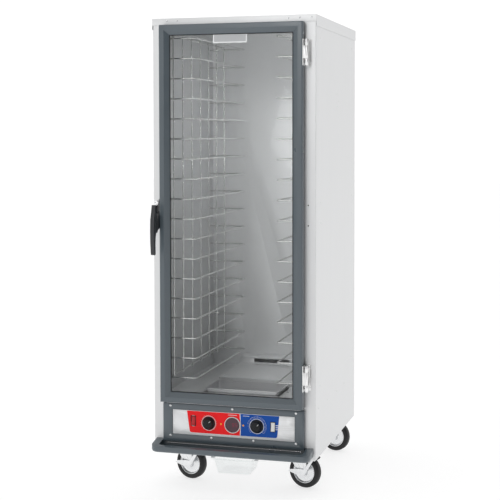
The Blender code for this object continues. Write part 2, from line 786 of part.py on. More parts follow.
def hinge(name, centre, door_edge, stand):
    """Three knuckles: the cabinet's leaf has the outer two and the pin, the door's leaf the middle one."""
    z0, z1 = centre - HINGE_LENGTH / 2, centre + HINGE_LENGTH / 2
    low, high = centre - HINGE_LENGTH / 4, centre + HINGE_LENGTH / 4
    y = FRONT - PIN_OUT
    running = 0.0004
    foot_y = FRONT - GAP - 0.002
    leaf = add_object(
        f"{name}_hinge_cabinet_leaf", box((0.2770, foot_y, z0), (0.2980, FRONT - GAP, z1)), "chrome"
    )
    for a, b in ((z0, low), (high, z1)):
        join(
            leaf,
            box((0.2845, y + 0.001, a), (0.2905, FRONT - 0.001, b)),
            rod("Z", (PIN_X, y), a, b, KNUCKLE_R, 16),
        )
    join(leaf, rod("Z", (PIN_X, y), z0 + 0.002, z1 - 0.002, HINGE_PIN_R, 12))
    plate_x = door_edge + GAP
    door_leaf = add_object(
        f"{name}_hinge_door_leaf",
        box((plate_x, FRONT - DOOR_FACE, z0), (plate_x + 0.002, FRONT - DOOR_BACK - 0.002, z1)),
        "chrome",
        stand,
    )
    join(
        door_leaf,
        box((plate_x + 0.001, y - 0.003, low + running), (PIN_X, y + 0.003, high - running)),
        rod("Z", (PIN_X, y), low + running, high - running, KNUCKLE_R, 16),
    )
    cut(door_leaf, rod("Z", (PIN_X, y), z0 - 0.01, z1 + 0.01, HINGE_PIN_R + 0.0002, 12))


def out_from_front(points):
    """Side outlines are drawn as (distance in front of the cabinet, height)."""
    return [(FRONT - out, z) for out, z in points]


def latch(door_left, stand):
    """Edge-mounted latch: a fixed housing with two ears, and a pull lever on the pin between them."""
    x0, x1 = LEVER_X
    middle = (x0 + x1) / 2
    tongue = 0.0027
    underside = [(0.010, 0.9790), (0.042, 0.9780), (0.053, 0.9730), (0.0595, 0.9640), (0.0620, 0.9640)]
    body = out_from_front(underside + [(0.062, 1.012), (0.048, 1.028), (0.024, 1.040), (0.010, 1.040)])
    housing = add_object("latch_housing", prism("X", body, x0, x1 - GAP), "dark_plastic", stand)
    tail = out_from_front([(0.010, 1.030), (0.023, 1.030), (0.018, 1.082), (0.015, 1.088), (0.010, 1.088)])
    join(housing, prism("X", tail, x0 + 0.0045, x1 - GAP))
    slot = out_from_front([(0.045, 0.94), (0.08, 0.94), (0.08, 1.05), (0.045, 1.05)])
    cut(housing, prism("X", slot, middle - tongue - 0.0005, middle + tongue + 0.0005))
    join(housing, rod("X", (FRONT - LEVER_PIVOT_OUT, LEVER_PIVOT_Z), x0 + 0.001, x1 - 0.0014, 0.0028, 12))

    lever_stand = pivot("latch_lever_axis", (middle, FRONT - LEVER_PIVOT_OUT, LEVER_PIVOT_Z))
    lever_stand.parent = stand
    lever_stand.matrix_parent_inverse = stand.matrix_world.inverted()
    bpy.context.view_layer.update()
    grip = out_from_front(
        [
            (0.0800, 0.8860),
            (0.0815, 0.9200),
            (0.0795, 0.9480),
            (0.0720, 0.9650),
            (0.0680, 0.9700),
            (0.0680, 1.0210),
            (0.0705, 1.0400),
            (0.0715, 1.0690),
            (0.0815, 1.0695),
            (0.0885, 1.0430),
            (0.0980, 1.0150),
            (LEVER_REACH, 0.9750),
            (0.0990, 0.9350),
            (0.0955, 0.9000),
            (0.0930, 0.8850),
            (0.0865, 0.8820),
        ]
    )
    lever = add_object("latch_lever", prism("X", grip, x0, x1), "dark_plastic", lever_stand)
    tang = out_from_front([(0.0480, 0.9890), (0.0740, 0.9800), (0.0740, 1.0150), (0.0480, 1.0050)])
    join(lever, prism("X", tang, middle - tongue, middle + tongue))
    cut(lever, rod("X", (FRONT - LEVER_PIVOT_OUT, LEVER_PIVOT_Z), x0 - 0.01, x1 + 0.01, 0.0031, 12))


def latch_strike():
    """Plate on the latch-side front strip, with a raised keeper beside the latch."""
    y = FRONT - GAP
    strike = add_object("latch_strike", box((-0.3130, y - 0.002, 0.990), (-0.2975, y, 1.082)), "chrome")
    profile = [(0.001, 1.004), (0.028, 1.010), (0.031, 1.020), (0.031, 1.052), (0.028, 1.062), (0.001, 1.068)]
    join(strike, prism("X", out_from_front(profile), -0.3050, -0.2985))


# ---------------------------------------------------------------- below the body
def drip_trough():
    """Moulded bumper that is open at the top. Its rim slopes up towards the cabinet."""
    front = FRONT - TROUGH_OUT
    outline = rounded_rectangle((-TROUGH_HALF, front), (TROUGH_HALF, FRONT + 0.03), 0.026, 4)
    trough = add_object("drip_trough", prism("Z", outline, TROUGH_Z0, 0.180), "grey_plastic")
    bevel(trough, 0.007, 2, 60.0)
    slope = [(front - 0.01, 0.1555), (FRONT + 0.04, 0.1805), (FRONT + 0.04, 0.20), (front - 0.01, 0.20)]
    inner = TROUGH_HALF - 0.028
    channel = rounded_rectangle((-inner, front + 0.020), (inner, FRONT - 0.006), 0.012, 3)
    panel_low = (-PANEL_HALF - GAP, FRONT - 0.025, PANEL_Z0 - GAP)
    cut(
        trough,
        box((-0.4, FRONT - GAP, 0.10), (0.4, FRONT + 0.05, 0.25)),
        prism("X", slope, -0.4, 0.4),
        prism("Z", channel, TROUGH_Z0 + 0.006, 0.25),
        box(panel_low, (PANEL_HALF + GAP, FRONT + 0.01, 0.25)),
        rod("Z", (0.0, front + 0.045), 0.10, 0.20, 0.006, 12),
    )


def pan_bracket():
    """Runners under the module that hold the condensate pan by its rim."""
    y0, y1 = FRONT + 0.004, FRONT + 0.150
    lip, top, inner, outer = 0.1085, 0.1675, 0.0785, 0.0925
    path = [(lip, -inner), (lip, -outer), (top, -outer), (top, outer), (lip, outer), (lip, inner)]
    add_object("pan_bracket", folded_sheet("Y", path, y0, y1), "steel")


def condensate_pan():
    """Clear pan with a rim that rides on the runners."""
    y0, y1 = FRONT - 0.034, FRONT + 0.128
    stand = pivot("condensate_pan_axis", (0.0, y0, 0.115))
    shell = tray((-0.0765, y0 + 0.008, 0.055), (0.0765, y1 - 0.008, 0.1145), 0.0022, 0.011)
    pan = add_object("condensate_pan", shell, "clear_plastic", stand)
    rim = box((-0.0870, y0, 0.1108), (0.0870, y1, 0.1145))
    hole = box((-0.0745, y0 + 0.010, 0.10), (0.0745, y1 - 0.010, 0.13))
    rim_object = add_helper("condensate_pan_rim", rim)
    cut(rim_object, hole)
    join(pan, evaluated_mesh(rim_object))


# ---------------------------------------------------------------- casters
def caster_meshes():
    """Pieces of one caster: swivel axis on Z, wheel trailing towards +X."""
    top = PLATE_Z
    plate_outline = rounded_rectangle((-0.040, -0.034), (0.040, 0.034), 0.006, 1)
    plate = add_helper("caster_plate_shape", prism("Z", plate_outline, top - 0.003, top))
    join(
        plate,
        rod("Z", (0, 0), top - 0.0120, top - 0.002, 0.026, 20),
        rod("Z", (0, 0), top - 0.0300, top - 0.010, 0.006, 12),
        rod("Z", (0, 0), top - 0.0300, top - 0.0235, 0.010, 6),
    )

    crown_top = top - 0.0124
    crown_low = crown_top - 0.008
    leg_gap = WHEEL_WIDTH / 2 + 0.0025
    leg = 0.0025
    crown = add_helper("caster_crown_shape", rod("Z", (0, 0), crown_low, crown_top, 0.027, 20))
    arm = rounded_rectangle((-0.020, -leg_gap - leg), (TRAIL + 0.012, leg_gap + leg), 0.004, 1)
    join(crown, prism("Z", arm, crown_low + 0.001, crown_low + 0.0042))
    side = [(-0.020, crown_low + 0.004), (-0.020, 0.105), (TRAIL - 0.016, 0.056), (TRAIL - 0.010, 0.048)]
    side += [(TRAIL + 0.008, 0.048), (TRAIL + 0.014, 0.058), (TRAIL + 0.012, crown_low + 0.004)]
    outline = [(z, x) for x, z in side]
    for sign in (-1, 1):
        a, b = sorted((sign * leg_gap, sign * (leg_gap + leg)))
        join(crown, prism("Y", outline, a, b))
    join(
        crown,
        rod("Y", (WHEEL_R, TRAIL), -leg_gap - leg - 0.0045, leg_gap + leg + 0.0045, AXLE_R, 12),
        rod("Y", (WHEEL_R, TRAIL), -leg_gap - leg - 0.0045, -leg_gap - leg + 0.001, 0.0095, 6),
        rod("Y", (WHEEL_R, TRAIL), leg_gap + leg - 0.001, leg_gap + leg + 0.0045, 0.0095, 6),
    )
    cut(crown, rod("Z", (0, 0), crown_low - 0.01, crown_top + 0.01, 0.0064, 12))

    half = WHEEL_WIDTH / 2
    hub = leg_gap - 0.0008
    rim_profile = [
        (0.0150, hub),
        (0.0170, 0.0070),
        (0.0380, 0.0050),
        (0.0438, 0.0135),
        (0.0438, -0.0135),
        (0.0380, -0.0050),
        (0.0170, -0.0070),
        (0.0150, -hub),
        (AXLE_R + 0.0002, -hub),
        (AXLE_R + 0.0002, hub),
    ]
    tyre_profile = [
        (0.0443, half - 0.001),
        (0.0560, half),
        (0.0610, half - 0.0045),
        (WHEEL_R, half - 0.011),
        (WHEEL_R, -half + 0.011),
        (0.0610, -half + 0.0045),
        (0.0560, -half),
        (0.0443, -half + 0.001),
    ]
    lay = Matrix.Translation((TRAIL, 0, WHEEL_R)) @ Matrix.Rotation(math.radians(90), 4, "X")
    rim = moved(turned(rim_profile, 18), lay)
    tyre = moved(turned(tyre_profile, 28), lay)

    meshes = {"plate": evaluated_mesh(plate), "fork": evaluated_mesh(crown), "rim": rim, "tyre": tyre}
    meshes["brake"] = brake_mesh(leg_gap + leg + 0.0052)
    return meshes


def brake_mesh(side_y):
    """Lever on the axle: a strap beside each leg, and a pedal across the trailing edge of the wheel."""
    strap = [
        (WHEEL_R + 0.0585, TRAIL + 0.0400),
        (WHEEL_R + 0.0120, TRAIL + 0.0060),
        (WHEEL_R + 0.0120, TRAIL - 0.0120),
        (WHEEL_R + 0.0070, TRAIL - 0.0480),
        (WHEEL_R - 0.0010, TRAIL - 0.0600),
        (WHEEL_R - 0.0120, TRAIL - 0.0200),
        (WHEEL_R - 0.0140, TRAIL + 0.0080),
        (WHEEL_R + 0.0040, TRAIL + 0.0180),
        (WHEEL_R + 0.0560, TRAIL + 0.0500),
    ]
    lever = add_helper("brake_lever_shape", prism("Y", strap, -side_y - 0.002, -side_y))
    pedal = [
        (WHEEL_R + 0.0560, TRAIL + 0.0370),
        (WHEEL_R + 0.0480, TRAIL + 0.0500),
        (WHEEL_R + 0.0520, TRAIL + 0.0560),
        (WHEEL_R + 0.0620, TRAIL + 0.0440),
    ]
    join(lever, prism("Y", pedal, -side_y - 0.001, 0.015))
    return evaluated_mesh(lever)


def casters():
    meshes = caster_meshes()
    finishes = {"fork": "zinc", "rim": "zinc", "tyre": "tyre_rubber"}
    for row, y in (("front", BODY_Y - CASTER_Y), ("rear", BODY_Y + CASTER_Y)):
        for column, x in (("left", -CASTER_X), ("right", CASTER_X)):
            name = f"{row}_{column}"
            plate = add_object(f"{name}_caster_plate", meshes["plate"], "zinc")
            plate.location = (x, y, 0.0)
            swivel = pivot(f"{name}_swivel_axis", (x, y, 0.0), SWIVEL_ANGLE)
            for piece, finish in finishes.items():
                made = add_object(f"{name}_caster_{piece}", meshes[piece], finish)
                made.parent = swivel
            if row == "front":
                made = add_object(f"{name}_brake_lever", meshes["brake"], "zinc")
                made.parent = swivel


# ---------------------------------------------------------------- assembly
side_panel("left_side_panel", -1)
side_panel("right_side_panel", 1)
rear_panel()
top_panel()
header_channel()
cavity_floor()
chassis_rail("left_chassis_rail", -1)
chassis_rail("right_chassis_rail", 1)
air_duct()
wire_rack("left_wire_rack", -1)
wire_rack("right_wire_rack", 1)
module_housing()
control_panel()
for knob_name, knob_x in KNOBS.items():
    knob(knob_name, knob_x)
for rocker_name, sizes in ROCKERS.items():
    rocker(rocker_name, *sizes)
indicators()
water_pan()
heating_element()
blower()
power_inlet()
door()
latch_strike()
drip_trough()
pan_bracket()
condensate_pan()
casters()
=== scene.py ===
import json
import math

import bmesh
import bpy
from mathutils import Matrix, Vector


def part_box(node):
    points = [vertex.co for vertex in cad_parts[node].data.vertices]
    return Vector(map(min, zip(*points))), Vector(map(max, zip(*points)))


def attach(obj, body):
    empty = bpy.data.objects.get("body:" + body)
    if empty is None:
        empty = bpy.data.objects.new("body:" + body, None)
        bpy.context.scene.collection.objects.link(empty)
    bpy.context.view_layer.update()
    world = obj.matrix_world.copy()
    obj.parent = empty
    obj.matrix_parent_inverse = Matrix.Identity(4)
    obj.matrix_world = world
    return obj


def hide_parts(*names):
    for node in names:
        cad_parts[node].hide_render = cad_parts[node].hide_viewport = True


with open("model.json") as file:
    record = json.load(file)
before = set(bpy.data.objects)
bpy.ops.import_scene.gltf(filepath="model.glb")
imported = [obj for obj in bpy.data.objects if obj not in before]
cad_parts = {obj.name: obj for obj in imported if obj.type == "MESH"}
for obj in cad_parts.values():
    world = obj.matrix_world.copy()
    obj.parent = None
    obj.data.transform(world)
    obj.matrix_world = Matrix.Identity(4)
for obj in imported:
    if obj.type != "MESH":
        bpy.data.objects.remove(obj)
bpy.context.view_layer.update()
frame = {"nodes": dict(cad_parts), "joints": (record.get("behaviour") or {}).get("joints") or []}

# Looks of the proofing cabinet, built around its CAD model: metres, +Z up, the door faces -Y.
NODES = frame["nodes"]

for leftover in ("Cube", "Light", "Camera"):
    if bpy.data.objects.get(leftover):
        bpy.data.objects.remove(bpy.data.objects[leftover])

# ---------------------------------------------------------------- sizes taken from the frame
SIDE_LOW, SIDE_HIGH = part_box("right_side_panel")
POST_INNER, FRONT, SKIRT_Z = SIDE_LOW
HALF, BACK = SIDE_HIGH.xy
CAP_LOW, CAP_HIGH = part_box("top_panel")
GLASS_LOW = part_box("door_window")[0]
LEFT_STILE_LOW, LEFT_STILE_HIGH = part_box("door_left_stile")
RIGHT_STILE_LOW, RIGHT_STILE_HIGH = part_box("door_right_stile")
PANEL_LOW, PANEL_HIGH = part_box("control_panel")
LABEL_LOW, LABEL_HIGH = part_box("label_plate")
BODY_Y = (FRONT + BACK) / 2
SHEET = 0.0016
HAIR = 0.0002  # clearance between pieces that lie on each other

# ---------------------------------------------------------------- sizes that the frame doesn't give
LEVELS = 18  # slides on each side
LEVEL_PITCH = 0.0762
TOP_LEVEL_Z = 1.6965
UPRIGHTS = 7
UPRIGHT_X = 0.250
SLIDE_R = 0.003
UPRIGHT_R = 0.0025
WELD_OFFSET = 0.0034  # between the centres of two wires where they are welded
TIE_Z = (0.409, 1.706)  # the two wires that tie the uprights together
FLOOR_Z = 0.3216  # top of the cavity floor
HINGE_PIN = (0.2875, FRONT - 0.031)
THERMOSTAT_X, HUMIDITY_X = -0.093, 0.095  # the knobs' shafts
POWER_X = -0.154
CONTROL_Z = 0.2455  # height of both shafts
INLET_Z = 0.2335
TROUGH_TOP = 0.184


# ---------------------------------------------------------------- materials
class Graph:
    """The node graph of one procedural material, in the piece's own coordinates."""

    def __init__(self, name):
        self.material = bpy.data.materials.new(name)
        self.material.use_nodes = True
        self.tree = self.material.node_tree
        self.shader = self.tree.nodes["Principled BSDF"]
        self.place = self.add("TexCoord").outputs["Object"]

    def add(self, kind, **settings):
        node = self.tree.nodes.new("ShaderNode" + kind)
        for key, value in settings.items():
            setattr(node, key, value)
        return node

    def plug(self, value, socket):
        """Feeds a socket from another socket, or sets its value."""
        if isinstance(value, bpy.types.NodeSocket):
            self.tree.links.new(value, socket)
        elif hasattr(value, "__len__") and len(value) == 3 and socket.type == "RGBA":
            socket.default_value = (*value, 1.0)
        else:
            socket.default_value = value

    def set(self, **inputs):
        for key, value in inputs.items():
            self.plug(value, self.shader.inputs[key.replace("_", " ")])

    def noise(self, scale, detail=3.0, stretch=(1.0, 1.0, 1.0)):
        place = self.add("Mapping")
        self.plug(self.place, place.inputs["Vector"])
        place.inputs["Scale"].default_value = stretch
        texture = self.add("TexNoise")
        self.plug(place.outputs["Vector"], texture.inputs["Vector"])
        texture.inputs["Scale"].default_value = scale
        texture.inputs["Detail"].default_value = detail
        return texture.outputs["Fac"]

    def between(self, factor, low, high, start=0.3, end=0.7):
        """Spreads a factor's middle range over low to high."""
        node = self.add("MapRange")
        self.plug(factor, node.inputs["Value"])
        for key, value in (("From Min", start), ("From Max", end), ("To Min", low), ("To Max", high)):
            node.inputs[key].default_value = value
        return node.outputs["Result"]

    def blend(self, factor, first, second):
        node = self.add("Mix", data_type="RGBA")
        self.plug(factor, node.inputs[0])
        self.plug(first, node.inputs[6])
        self.plug(second, node.inputs[7])
        return node.outputs[2]

    def average(self, first, second, share):
        node = self.add("Mix", data_type="FLOAT")
        self.plug(share, node.inputs[0])
        self.plug(first, node.inputs[2])
        self.plug(second, node.inputs[3])
        return node.outputs[0]

    def bump(self, height, strength, distance):
        node = self.add("Bump")
        self.plug(height, node.inputs["Height"])
        node.inputs["Strength"].default_value = strength
        node.inputs["Distance"].default_value = distance
        self.set(Normal=node.outputs["Normal"])


def shades(colour, spread):
    """A darker and a lighter version of a colour."""
    return [tuple(min(1.0, c * (1.0 + sign * spread)) for c in colour) for sign in (-1, 1)]


def brushed(name, colour, roughness, grain, spread=0.05, metallic=1.0):
    """Rolled or brushed sheet, with fine streaks along its grain and faint handling marks."""
    graph = Graph(name)
    stretch = [1.0, 1.0, 1.0]
    stretch["XYZ".index(grain)] = 0.015
    streaks = graph.noise(900.0, 3.0, stretch)
    broad = graph.noise(42.0, 2.0, stretch)
    marks = graph.noise(7.0, 4.0)
    mixed = graph.average(graph.average(streaks, broad, 0.35), marks, 0.3)
    dark, light = shades(colour, spread)
    graph.set(Base_Color=graph.blend(graph.between(mixed, 0.0, 1.0), dark, light), Metallic=metallic)
    graph.set(Roughness=graph.between(mixed, roughness - 0.06, roughness + 0.06))
    graph.bump(streaks, 0.25, 0.00002)
    return graph.material


def plated(name, colour, roughness, mottle, spread=0.04):
    """Plated steel, with the faint mottle and wiped look of zinc, nickel or chrome."""
    graph = Graph(name)
    spots = graph.noise(mottle, 4.0)
    wipes = graph.noise(14.0, 3.0, (1.0, 1.0, 0.3))
    mixed = graph.average(spots, wipes, 0.5)
    dark, light = shades(colour, spread)
    graph.set(Base_Color=graph.blend(graph.between(mixed, 0.0, 1.0), dark, light), Metallic=1.0)
    graph.set(Roughness=graph.between(mixed, roughness * 0.7, roughness * 1.4))
    graph.bump(spots, 0.12, 0.00004)
    return graph.material


def moulded(name, colour, roughness, grain=1500.0, depth=0.00008, spread=0.07, coat=0.0, gloss=0.5):
    """Moulded plastic or rubber, with a fine texture and slight differences in shade and gloss."""
    graph = Graph(name)
    texture = graph.noise(grain, 2.0)
    cloud = graph.noise(9.0, 4.0)
    dark, light = shades(colour, spread)
    mixed = graph.average(texture, cloud, 0.6)
    graph.set(Base_Color=graph.blend(graph.between(mixed, 0.0, 1.0), dark, light))
    graph.set(Roughness=graph.between(cloud, roughness - 0.05, roughness + 0.07))
    graph.set(Coat_Weight=coat, Coat_Roughness=0.12, Specular_IOR_Level=gloss)
    graph.bump(texture, 0.3, depth)
    return graph.material


def printed(name, colour, roughness=0.32, metallic=0.0):
    """Ink or foil on the label, with a fine screen grain."""
    graph = Graph(name)
    screen = graph.noise(2600.0, 1.0)
    cloud = graph.noise(18.0, 3.0)
    dark, light = shades(colour, 0.05)
    graph.set(Base_Color=graph.blend(graph.between(graph.average(screen, cloud, 0.5), 0.0, 1.0), dark, light))
    graph.set(Roughness=graph.between(cloud, roughness - 0.05, roughness + 0.08), Metallic=metallic)
    graph.set(Specular_IOR_Level=0.2)
    graph.bump(screen, 0.15, 0.00002)
    return graph.material


def clear(name, tint, smudge, mirror):
    """Clear sheet: light passes straight through it, and its face mirrors more at a glancing angle."""
    graph = Graph(name)
    tree = graph.tree
    output = tree.nodes["Material Output"]
    through = graph.add("BsdfTransparent")
    wipes = graph.noise(6.0, 4.0, (1.0, 1.0, 0.4))
    thin, full = [tuple(c * share for c in tint) for share in (0.985, 1.0)]
    graph.plug(graph.blend(graph.between(wipes, 0.0, 1.0), thin, full), through.inputs["Color"])
    gloss = graph.add("BsdfGlossy")
    graph.plug(graph.between(wipes, 0.02, smudge), gloss.inputs["Roughness"])
    glancing = graph.add("Math", operation="POWER")
    graph.plug(graph.add("LayerWeight").outputs["Facing"], glancing.inputs[0])
    glancing.inputs[1].default_value = 5.0
    mix = graph.add("MixShader")
    graph.plug(graph.between(glancing.outputs[0], 0.02 * mirror, 0.5 * mirror, 0.0, 1.0), mix.inputs[0])
    tree.links.new(through.outputs[0], mix.inputs[1])
    tree.links.new(gloss.outputs[0], mix.inputs[2])
    tree.links.new(mix.outputs[0], output.inputs["Surface"])
    tree.nodes.remove(graph.shader)
    return graph.material


def lens(name, colour, glow):
    """Tinted indicator lens with a faint glow, its tint mottled by a fine noise."""
    graph = Graph(name)
    cloud = graph.noise(420.0, 2.0)
    dark, light = shades(colour, 0.2)
    shade = graph.blend(graph.between(cloud, 0.0, 1.0), dark, light)
    graph.set(Base_Color=shade, Roughness=0.12, Coat_Weight=0.6, Emission_Color=shade, Emission_Strength=glow)
    return graph.material


GREY = (0.068, 0.092, 0.110)
LOOKS = {
    "aluminium": brushed("satin_aluminium", (0.77, 0.775, 0.78), 0.50, "Z", 0.03),
    "inner_aluminium": brushed("inner_aluminium", (0.89, 0.895, 0.90), 0.46, "Z", 0.015, 0.55),
    "steel": brushed("pan_steel", (0.80, 0.80, 0.81), 0.32, "X", 0.04, 0.75),
    "hinge_steel": brushed("hinge_steel", (0.93, 0.93, 0.93), 0.34, "Z", 0.03),
    "zinc": plated("zinc_plate", (0.82, 0.83, 0.84), 0.22, 160.0),
    "nickel_wire": plated("nickel_plate", (0.72, 0.72, 0.71), 0.16, 300.0),
    "chrome": plated("chrome_plate", (0.90, 0.90, 0.91), 0.10, 90.0, 0.02),
    "grey_plastic": moulded("grey_plastic", GREY, 0.32, gloss=1.0),
    "dark_plastic": moulded("dark_plastic", (0.014, 0.015, 0.017), 0.34, gloss=0.25),
    "latch_plastic": moulded("latch_plastic", (0.034, 0.036, 0.040), 0.38),
    "label": printed("silver_foil", (0.90, 0.91, 0.92), 0.35, 0.2),
    "label_grey": printed("grey_foil", (0.47, 0.48, 0.49), 0.35, 0.2),
    "label_red": printed("red_ink", (0.93, 0.010, 0.014)),
    "label_blue": printed("blue_ink", (0.003, 0.076, 0.40)),
    "label_white": printed("white_ink", (0.86, 0.87, 0.87)),
    "label_pale": printed("pale_ink", (0.74, 0.76, 0.76)),
    "red_plastic": moulded("red_rocker", (0.50, 0.006, 0.010), 0.34, 2000.0, 0.00003, 0.1, 0.1),
    "white_plastic": moulded("white_rocker", (0.86, 0.86, 0.84), 0.28, 2000.0, 0.00003, 0.03, 0.3),
    "amber_lens": lens("amber_lens", (0.90, 0.38, 0.03), 0.25),
    "display": moulded("display_face", (0.058, 0.016, 0.030), 0.30, 2400.0, 0.00002, 0.25, 0.2),
    "digit": lens("digit_red", (0.42, 0.008, 0.060), 0.25),
    "window": clear("clear_window", (0.99, 0.995, 0.995), 0.10, 0.6),
    "clear_plastic": clear("clear_pan", (0.985, 0.99, 0.99), 0.08, 0.6),
    "rubber": moulded("black_rubber", (0.010, 0.010, 0.011), 0.66, 900.0, 0.0001),
    "tyre_rubber": moulded("tyre_rubber", (0.009, 0.009, 0.010), 0.58, 700.0, 0.00015, 0.15),
    "element": plated("heat_darkened_tube", (0.21, 0.19, 0.17), 0.5, 220.0, 0.2),
}

# ---------------------------------------------------------------- shape helpers, each giving a mesh
AXES = {
    "X": Matrix(((0, 0, 1, 0), (1, 0, 0, 0), (0, 1, 0, 0), (0, 0, 0, 1))),
    "Y": Matrix(((0, 1, 0, 0), (0, 0, 1, 0), (1, 0, 0, 0), (0, 0, 0, 1))),
    "Z": Matrix.Identity(4),
}


def to_mesh(bm, name="shape"):
    bmesh.ops.recalc_face_normals(bm, faces=bm.faces)
    mesh = bpy.data.meshes.new(name)
    bm.to_mesh(mesh)
    bm.free()
    return mesh


def smooth(mesh, angle=35.0):
    mesh.shade_smooth()
    mesh.set_sharp_from_angle(angle=math.radians(angle))
    return mesh


def rounded(points, radius, steps=5, closed=True):
    """The line with a round bend at each corner. radius is one number, or one for each point."""
    points = [Vector(point) for point in points]
    radii = radius if hasattr(radius, "__len__") else [radius] * len(points)
    line = []
    for index, point in enumerate(points):
        end = not closed and index in (0, len(points) - 1)
        if end or radii[index] == 0:
            line.append(point)
            continue
        back = points[index - 1] - point
        ahead = points[(index + 1) % len(points)] - point
        half = back.angle(ahead) / 2
        reach = min(radii[index] / math.tan(half), 0.48 * back.length, 0.48 * ahead.length)
        first = point + back.normalized() * reach
        last = point + ahead.normalized() * reach
        for step in range(steps + 1):
            t = step / steps
            line.append(first * (1 - t) ** 2 + point * 2 * t * (1 - t) + last * t**2)
    return line


def rounded_rectangle(low, high, radius, steps=6):
    corners = [(high[0], high[1]), (low[0], high[1]), (low[0], low[1]), (high[0], low[1])]
    return rounded(corners, radius, steps)


def sheet_outline(path, gauge=SHEET, bend=0.0024):
    """Closed outline of a folded sheet, whose gauge lies on the left of its path."""
    run = rounded(path, bend, 5, closed=False)
    far = []
    for index, point in enumerate(run):
        before = (point - run[index - 1]).normalized() if index else None
        after = (run[index + 1] - point).normalized() if index < len(run) - 1 else None
        before, after = before or after, after or before
        direction = (before + after).normalized()
        normal = Vector((-direction.y, direction.x))
        far.append(point + normal * gauge / max(0.5, direction.dot(before)))
    return run + far[::-1]


def extruded(axis, outline, start, end):
    """A flat outline, in the two coordinates that follow the axis, drawn out along the axis."""
    bm = bmesh.new()
    face = bm.faces.new([bm.verts.new((point[0], point[1], start)) for point in outline])
    drawn = bmesh.ops.extrude_face_region(bm, geom=[face])
    lifted = [item for item in drawn["geom"] if isinstance(item, bmesh.types.BMVert)]
    bmesh.ops.translate(bm, vec=(0, 0, end - start), verts=lifted)
    bmesh.ops.transform(bm, matrix=AXES[axis], verts=bm.verts)
    return to_mesh(bm)


def block(low, high):
    outline = [(low[0], low[1]), (high[0], low[1]), (high[0], high[1]), (low[0], high[1])]
    return extruded("Z", outline, low[2], high[2])


def turned(profile, steps=48):
    """A shape turned about Z from (radius, height) points. It closes on itself unless it meets the axis."""
    bm = bmesh.new()
    rings = []
    for radius, height in profile:
        if radius < 1e-6:
            rings.append([bm.verts.new((0, 0, height))] * steps)
            continue
        angles = [2 * math.pi * step / steps for step in range(steps)]
        rings.append([bm.verts.new((radius * math.cos(a), radius * math.sin(a), height)) for a in angles])
    pairs = list(zip(rings, rings[1:]))
    if min(radius for radius, _ in profile) > 1e-6:
        pairs.append((rings[-1], rings[0]))
    for first, second in pairs:
        for step in range(steps):
            after = (step + 1) % steps
            corners = list(dict.fromkeys((first[step], first[after], second[after], second[step])))
            if len(corners) > 2:
                bm.faces.new(corners)
    return smooth(to_mesh(bm))


def rod(axis, centre, start, end, radius, steps=32):
    shape = turned([(0.0, end), (radius, end), (radius, start), (0.0, start)], steps)
    shape.transform(AXES[axis] @ Matrix.Translation((centre[0], centre[1], 0.0)))
    return shape


def lofted(rings):
    """A closed skin through rings of points that all have the same number of points."""
    bm = bmesh.new()
    loops = [[bm.verts.new(point) for point in ring] for ring in rings]
    for lower, upper in zip(loops, loops[1:]):
        for index in range(len(lower)):
            after = (index + 1) % len(lower)
            bm.faces.new((lower[index], lower[after], upper[after], upper[index]))
    bm.faces.new(loops[0])
    bm.faces.new(loops[-1])
    return to_mesh(bm)


def evaluated(mesh, *modifiers):
    """The mesh after modifiers, each a type and its settings. Objects made for them are removed again."""
    holder = bpy.data.objects.new("holder", mesh)
    bpy.context.scene.collection.objects.link(holder)
    helpers = []
    for kind, settings in modifiers:
        modifier = holder.modifiers.new(kind, kind)
        for key, value in settings.items():
            if key == "object":
                helper = bpy.data.objects.new("helper", value)
                bpy.context.scene.collection.objects.link(helper)
                helpers.append(helper)
                value = helper
            setattr(modifier, key, value)
    bpy.context.view_layer.update()
    graph = bpy.context.evaluated_depsgraph_get()
    result = bpy.data.meshes.new_from_object(holder.evaluated_get(graph))
    for extra in (holder, *helpers):
        bpy.data.objects.remove(extra)
    return result


def cut(mesh, *cutters):
    return evaluated(mesh, *[("BOOLEAN", {"operation": "DIFFERENCE", "object": shape}) for shape in cutters])


def bevelled(mesh, width, segments=3, angle=30.0):
    """The mesh with its edges rounded and its flat faces shaded flat."""
    settings = {
        "width": width,
        "segments": segments,
        "limit_method": "ANGLE",
        "angle_limit": math.radians(angle),
        "harden_normals": True,
        "miter_outer": "MITER_ARC",
    }
    mesh.shade_smooth()
    return evaluated(mesh, ("BEVEL", settings))


def rectangle(x0, x1, z0, z1):
    return [(x0, z0), (x1, z0), (x1, z1), (x0, z1)]


def upright(outline):
    """An outline in x and z, in the order that drawing it out along Y needs."""
    return [(z, x) for x, z in outline]


def combined(meshes):
    """Several meshes as one, still as separate solids."""
    bm = bmesh.new()
    for mesh in meshes:
        bm.from_mesh(mesh)
    return smooth(to_mesh(bm))


def copies(mesh, places):
    """One mesh at several places, each a matrix."""
    shapes = []
    for place in places:
        shape = mesh.copy()
        shape.transform(place)
        shapes.append(shape)
    return combined(shapes)


# nodes with openings in their flat faces, which stay in triangles because a bevel folds a whole face there
PIERCED = {
    "rear_panel",
    "cavity_floor",
    "air_duct",
    "module_housing",
    "label_plate",
    "power_inlet",
    "blower_wheel",
    "latch_strike",
    "upper_hinge_cabinet_leaf",
    "lower_hinge_cabinet_leaf",
    "front_left_brake_lever",
    "front_right_brake_lever",
}


def cad_mesh(node):
    """A clean copy of a CAD node's mesh, with its flat faces whole again unless openings pierce them."""
    bm = bmesh.new()
    bm.from_mesh(NODES[node].data)
    bmesh.ops.remove_doubles(bm, verts=bm.verts, dist=1e-5)
    if node not in PIERCED:
        bmesh.ops.dissolve_limit(bm, angle_limit=math.radians(0.5), verts=bm.verts, edges=bm.edges)
    return to_mesh(bm, node)


# ---------------------------------------------------------------- placing pieces
def joint(name):
    return next(item for item in frame["joints"] if item["name"] == name)


